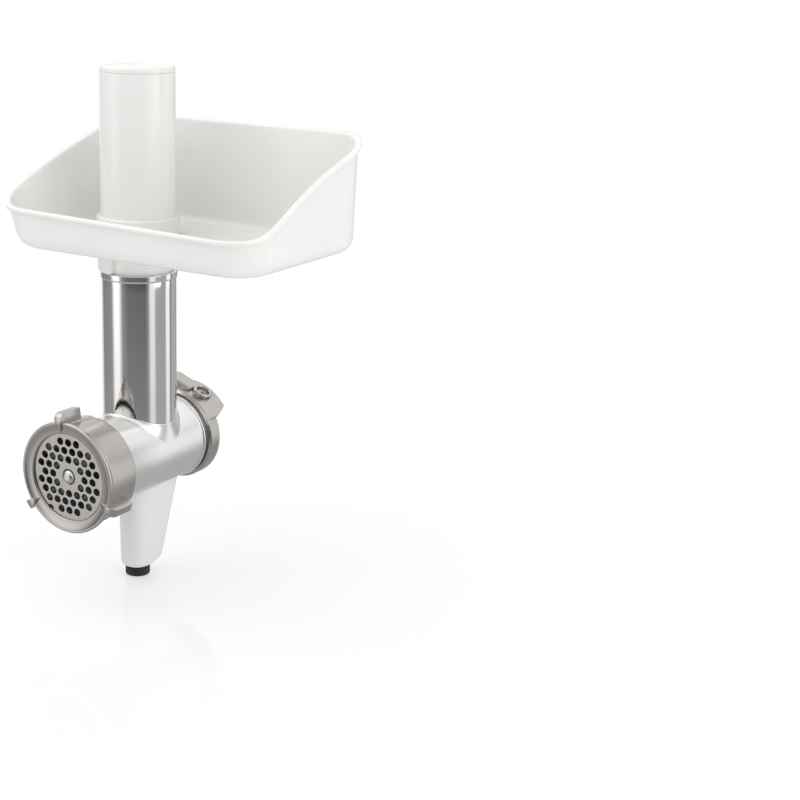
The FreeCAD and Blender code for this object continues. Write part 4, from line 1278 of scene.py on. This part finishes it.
# ---------------------------------------------------------------- leg and foot
@dataclass
class Leg:
    """The tapered leg, moulded to the barrel at its top, and its rubber foot."""
    top: tuple[float, float, float, float] = (-14.0, -17.5, 38.0, 12.0)
    low: tuple[float, float, float, float] = (-79.0, -15.5, 16.0, 10.5)
    base: tuple[float, float, float, float] = (-81.4, -13.8, 5.8, 9.4)
    foot_r: float = 8.3
    foot_y: float = -4.0
    foot_z: float = -88.4
    grooves: int = 3

    def section(self, z: float) -> tuple[float, float, float]:
        """The front, rear and half width at a height, with the knee above the foot eased."""
        upper, lower = (self.top, self.low) if z > self.low[0] else (self.low, self.base)
        share = (z - lower[0]) / (upper[0] - lower[0])
        front, rear, half = (lower[i] + (upper[i] - lower[i]) * share for i in (1, 2, 3))
        near = abs(z - self.low[0])
        if near < 2.0:
            rear -= 1.6 * (1 - near / 2.0) ** 2
        return front, rear, half

    def ring(self, z: float, inset: float, angles: Array) -> Array:
        """A soft long-rounded ring at a height."""
        front, rear, half = self.section(z)
        half -= inset
        length = max(0.5 * (rear - front) - inset, half)
        straight = length - half
        middle = 0.5 * (front + rear)
        x = half * np.sign(np.cos(angles)) * np.abs(np.cos(angles)) ** 0.92
        y = half * np.sin(angles) + straight * np.tanh(2.4 * np.sin(angles)) / math.tanh(2.4)
        return np.stack([x, middle + y, np.full_like(x, z)], 1)

    def build(self, barrel: Barrel) -> list[Piece]:
        """Makes the leg and the foot."""
        angles = even_angles(144)
        base, high = self.base[0], self.top[0]
        rings = [self.ring(base, 8.2, angles), self.ring(base, 4.0, angles), self.ring(base, 1.6, angles)]
        for turn in np.radians((20, 45, 70, 90)):
            rings.append(self.ring(base + 1.0 * (1 - math.cos(turn)), 1.0 - 1.0 * math.sin(turn), angles))
        heights = list(np.linspace(base + 1.2, self.low[0] + 2.4, 11))
        heights += list(np.linspace(self.low[0] + 4.0, -31.0, 22))
        for z in heights:
            rings.append(self.ring(z, 0.0, angles))
        last = rings[-1]
        top = self.ring(high, 0.0, angles)
        for share in np.linspace(0.12, 1.0, 8):
            ring = last.copy()
            for _ in range(6):
                drop = np.sqrt(np.maximum((barrel.outside(ring[:, 1]) - 0.7) ** 2 - ring[:, 0] ** 2, 1.0))
                height = last[:, 2] + (-drop - last[:, 2]) * share
                lift = ((height - last[0, 2]) / (high - last[0, 2]))[:, None]
                ring = last + (top - last) * lift
                ring[:, 2] = height
            rings.append(ring)
        middle = last[:, :2].mean(0)
        for before, after in ((1.0, 0.8), (0.8, 0.5), (0.5, 0.2)):
            ring = rings[-1].copy()
            ring[:, :2] = middle + (rings[-1][:, :2] - middle) * (after / before)
            ring[:, 2] = -np.sqrt((barrel.outside(ring[:, 1]) - 0.7) ** 2 - ring[:, 0] ** 2)
            rings.append(ring)
        leg = mesh_object("support_leg", *skin(rings, cap_start=True, cap_end=True), sharp=60.0)
        finish_piece(leg, LEG_WHITE, "housing", ["leg"])
        low, high, out = self.foot_z, base, self.foot_r
        corners = [(0, low, 0), (out - 3.2, low, 0.3), (out - 2.8, low + 0.5, 0.3),
                   (out - 2.2, low + 0.5, 0.3), (out - 1.8, low, 0.3), (out, low, 1.0)]
        pitch = (high - low - 2.2) / self.grooves
        for k in range(self.grooves):
            z = low + 1.9 + pitch * k
            corners += [(out, z, 0.2), (out - 0.35, z + 0.3, 0.2), (out - 0.35, z + 0.6, 0.2),
                        (out, z + 0.9, 0.2)]
        corners += [(out, high - 0.02, 0.5), (0, high - 0.02, 0)]
        foot = lathe("rubber_foot", Axis.ALONG_Z, corners, 112, steps=3, centre=(0.0, self.foot_y))
        return [leg, finish_piece(foot, FOOT_RUBBER, "housing", ["foot"])]


# ---------------------------------------------------------------- worm set
@dataclass
class WormSet:
    """The worm, its shaft, the knife and the driver, which turn together."""

    def build(self) -> None:
        """Gives the kept CAD nodes their finishes."""
        for node, finish in (("worm", WORM_METAL), ("worm_shaft", STUD_STEEL), ("knife", CUTTER_STEEL),
                             ("plate_key", CUTTER_STEEL), ("thrust_washer", ACETAL), ("bush", ACETAL),
                             ("shaft_seal", SEAL_RUBBER), ("drive_dog", NYLON), ("dog_screw", ZINC_STEEL),
                             ("dog_washer", ZINC_STEEL), ("leg_stud", CUTTER_STEEL),
                             ("leg_screw", ZINC_STEEL), ("leg_washer", ZINC_STEEL)):
            dress_node(node, finish)


# ---------------------------------------------------------------- studio
PANELS = ((0.0, 1.0), (0.09, 1.0), (0.13, 0.22), (0.26, 0.3), (0.292, 1.5), (0.335, 1.5), (0.37, 0.30),
          (0.42, 0.13), (0.57, 0.11), (0.595, 0.3), (0.615, 1.1), (0.645, 1.1), (0.665, 0.42), (0.76, 0.42),
          (0.775, 1.3), (0.81, 1.3), (0.825, 0.2), (0.86, 0.55), (1.0, 0.30))
DOME = ((0.0, 0.5), (0.55, 0.8), (0.7, 1.05), (0.85, 1.2), (1.0, 1.0))
UNDER = (0.5, 0.5, 0.5)
PLAIN = (0.91, 0.91, 0.91)
WHITE_SKY = (1.0, 1.0, 1.0)
LAMPS = (("overhead", (-0.5, -0.4, 1.1), (0.02, -0.05, 0.05), (1.3, 1.3), 5.0),
         ("right_side", (1.2, 0.1, 0.35), (0.03, -0.05, 0.08), (0.5, 0.9), 2.5))


@dataclass
class Studio:
    """The pale floor, the soft light and the camera."""
    lens: float = 68.793
    shift: Pair = (0.125, -0.10)
    seat: Point = (0.61286, -0.81574, 0.32842)
    azimuth: float = 32.44
    elevation: float = 13.74
    roll: float = 0.95
    floor_drop: float = 0.0003
    floor_reach: float = 3.0
    floor_near: float = 0.10
    floor_far: float = 0.42

    def camera(self) -> None:
        """Puts the camera where the object is seen from."""
        az, el, roll = (math.radians(v) for v in (self.azimuth, self.elevation, self.roll))
        back = Vector((math.sin(az) * math.cos(el), -math.cos(az) * math.cos(el), math.sin(el)))
        right = Vector((0, 0, 1)).cross(back).normalized()
        up = back.cross(right)
        across = right * math.cos(roll) + up * math.sin(roll)
        above = up * math.cos(roll) - right * math.sin(roll)
        data = bpy.data.cameras.new("camera")
        data.sensor_width = 36.0
        data.lens = self.lens
        data.shift_x, data.shift_y = self.shift
        data.clip_end = 20.0
        eye = bpy.data.objects.new("camera", data)
        turn = Matrix((across, above, back)).transposed().to_4x4()
        eye.matrix_world = Matrix.Translation(self.seat) @ turn
        bpy.context.scene.collection.objects.link(eye)
        bpy.context.scene.camera = eye

    def floor(self) -> None:
        """Makes the pale floor."""
        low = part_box("foot")[0].z - self.floor_drop
        mesh = bpy.data.meshes.new("floor")
        signs = ((-1, -1), (1, -1), (1, 1), (-1, 1))
        mesh.from_pydata([(a * self.floor_reach, b * self.floor_reach, low) for a, b in signs],
                         [], [(0, 1, 2, 3)])
        plane = bpy.data.objects.new("floor", mesh)
        bpy.context.scene.collection.objects.link(plane)
        material = bpy.data.materials.new("floor")
        material.use_nodes = True
        tree = Shader(material.node_tree)
        x, y, _z = tree.parts(tree.place())
        away = (x * x + y * y).power(0.5).smooth(self.floor_near, self.floor_far)
        near = tree.node("ShaderNodeBsdfPrincipled", inputs={"Base Color": (0.93, 0.93, 0.93),
                                                             "Roughness": 0.06, "Specular IOR Level": 0.55})
        far = tree.node("ShaderNodeEmission", inputs={"Color": WHITE_SKY, "Strength": 1.0})
        both = tree.node("ShaderNodeMixShader", inputs={0: away.spread(0.5, 1.0), 1: near, 2: far})
        tree.node("ShaderNodeOutputMaterial", inputs={"Surface": both})
        mesh.materials.append(material)
        plane.visible_glossy = False

    def sky(self) -> None:
        """Makes the studio's surroundings: white, with upright dark and bright panels for the steel."""
        world = bpy.data.worlds.new("studio")
        bpy.context.scene.world = world
        world.use_nodes = True
        tree = Shader(world.node_tree)
        way = tree.node("ShaderNodeTexCoord", output="Generated")
        x, y, z = tree.parts(way)
        turn = (y.angle_of(x) + math.radians(90.0 - self.azimuth)) / (2 * math.pi)
        around = turn - (turn + 0.5).floor() + 0.5
        panels = tree.node("ShaderNodeValToRGB", {"stops": PANELS}, {0: around})
        dome = tree.node("ShaderNodeValToRGB", {"stops": DOME}, {0: z * 0.5 + 0.5})
        level = tree.mix(z.smooth(-0.55, -0.12), UNDER, panels)
        seen = tree.mix(z.smooth(0.10, 0.34), level, dome)
        paths = tree.node("ShaderNodeLightPath", output="Is Glossy Ray")
        plain = tree.mix(paths, PLAIN, seen)
        camera = tree.node("ShaderNodeLightPath", output="Is Camera Ray")
        final = tree.mix(camera, plain, WHITE_SKY)
        back = tree.node("ShaderNodeBackground", inputs={"Color": final, "Strength": 1.0})
        tree.node("ShaderNodeOutputWorld", inputs={"Surface": back})

    def lamp(self, name: str, where: Point, aim: Point, size: Pair, power: float) -> None:
        """Adds a soft rectangular light that points at a place."""
        data = bpy.data.lights.new(name, "AREA")
        data.shape = "RECTANGLE"
        data.size, data.size_y = size
        data.energy = power
        lamp = bpy.data.objects.new(name, data)
        lamp.location = where
        lamp.rotation_euler = (Vector(aim) - Vector(where)).to_track_quat("-Z", "Y").to_euler()
        bpy.context.scene.collection.objects.link(lamp)

    def build(self) -> None:
        """Sets the scene."""
        bpy.context.scene.view_settings.view_transform = "Standard"
        self.camera()
        self.floor()
        self.sky()
        for lamp in LAMPS:
            self.lamp(*lamp)


def main() -> None:
    """Builds every piece in order."""
    logging.basicConfig(level=logging.INFO, format="%(name)s: %(message)s")
    Studio().build()
    barrel = Barrel()
    barrel.build()
    Coupling().build()
    Leg().build(barrel)
    WormSet().build()
    HolePlate().build()
    ScrewRing().build()
    Tray().build()
    Pusher().build()


if __name__ == "__main__":
    main()
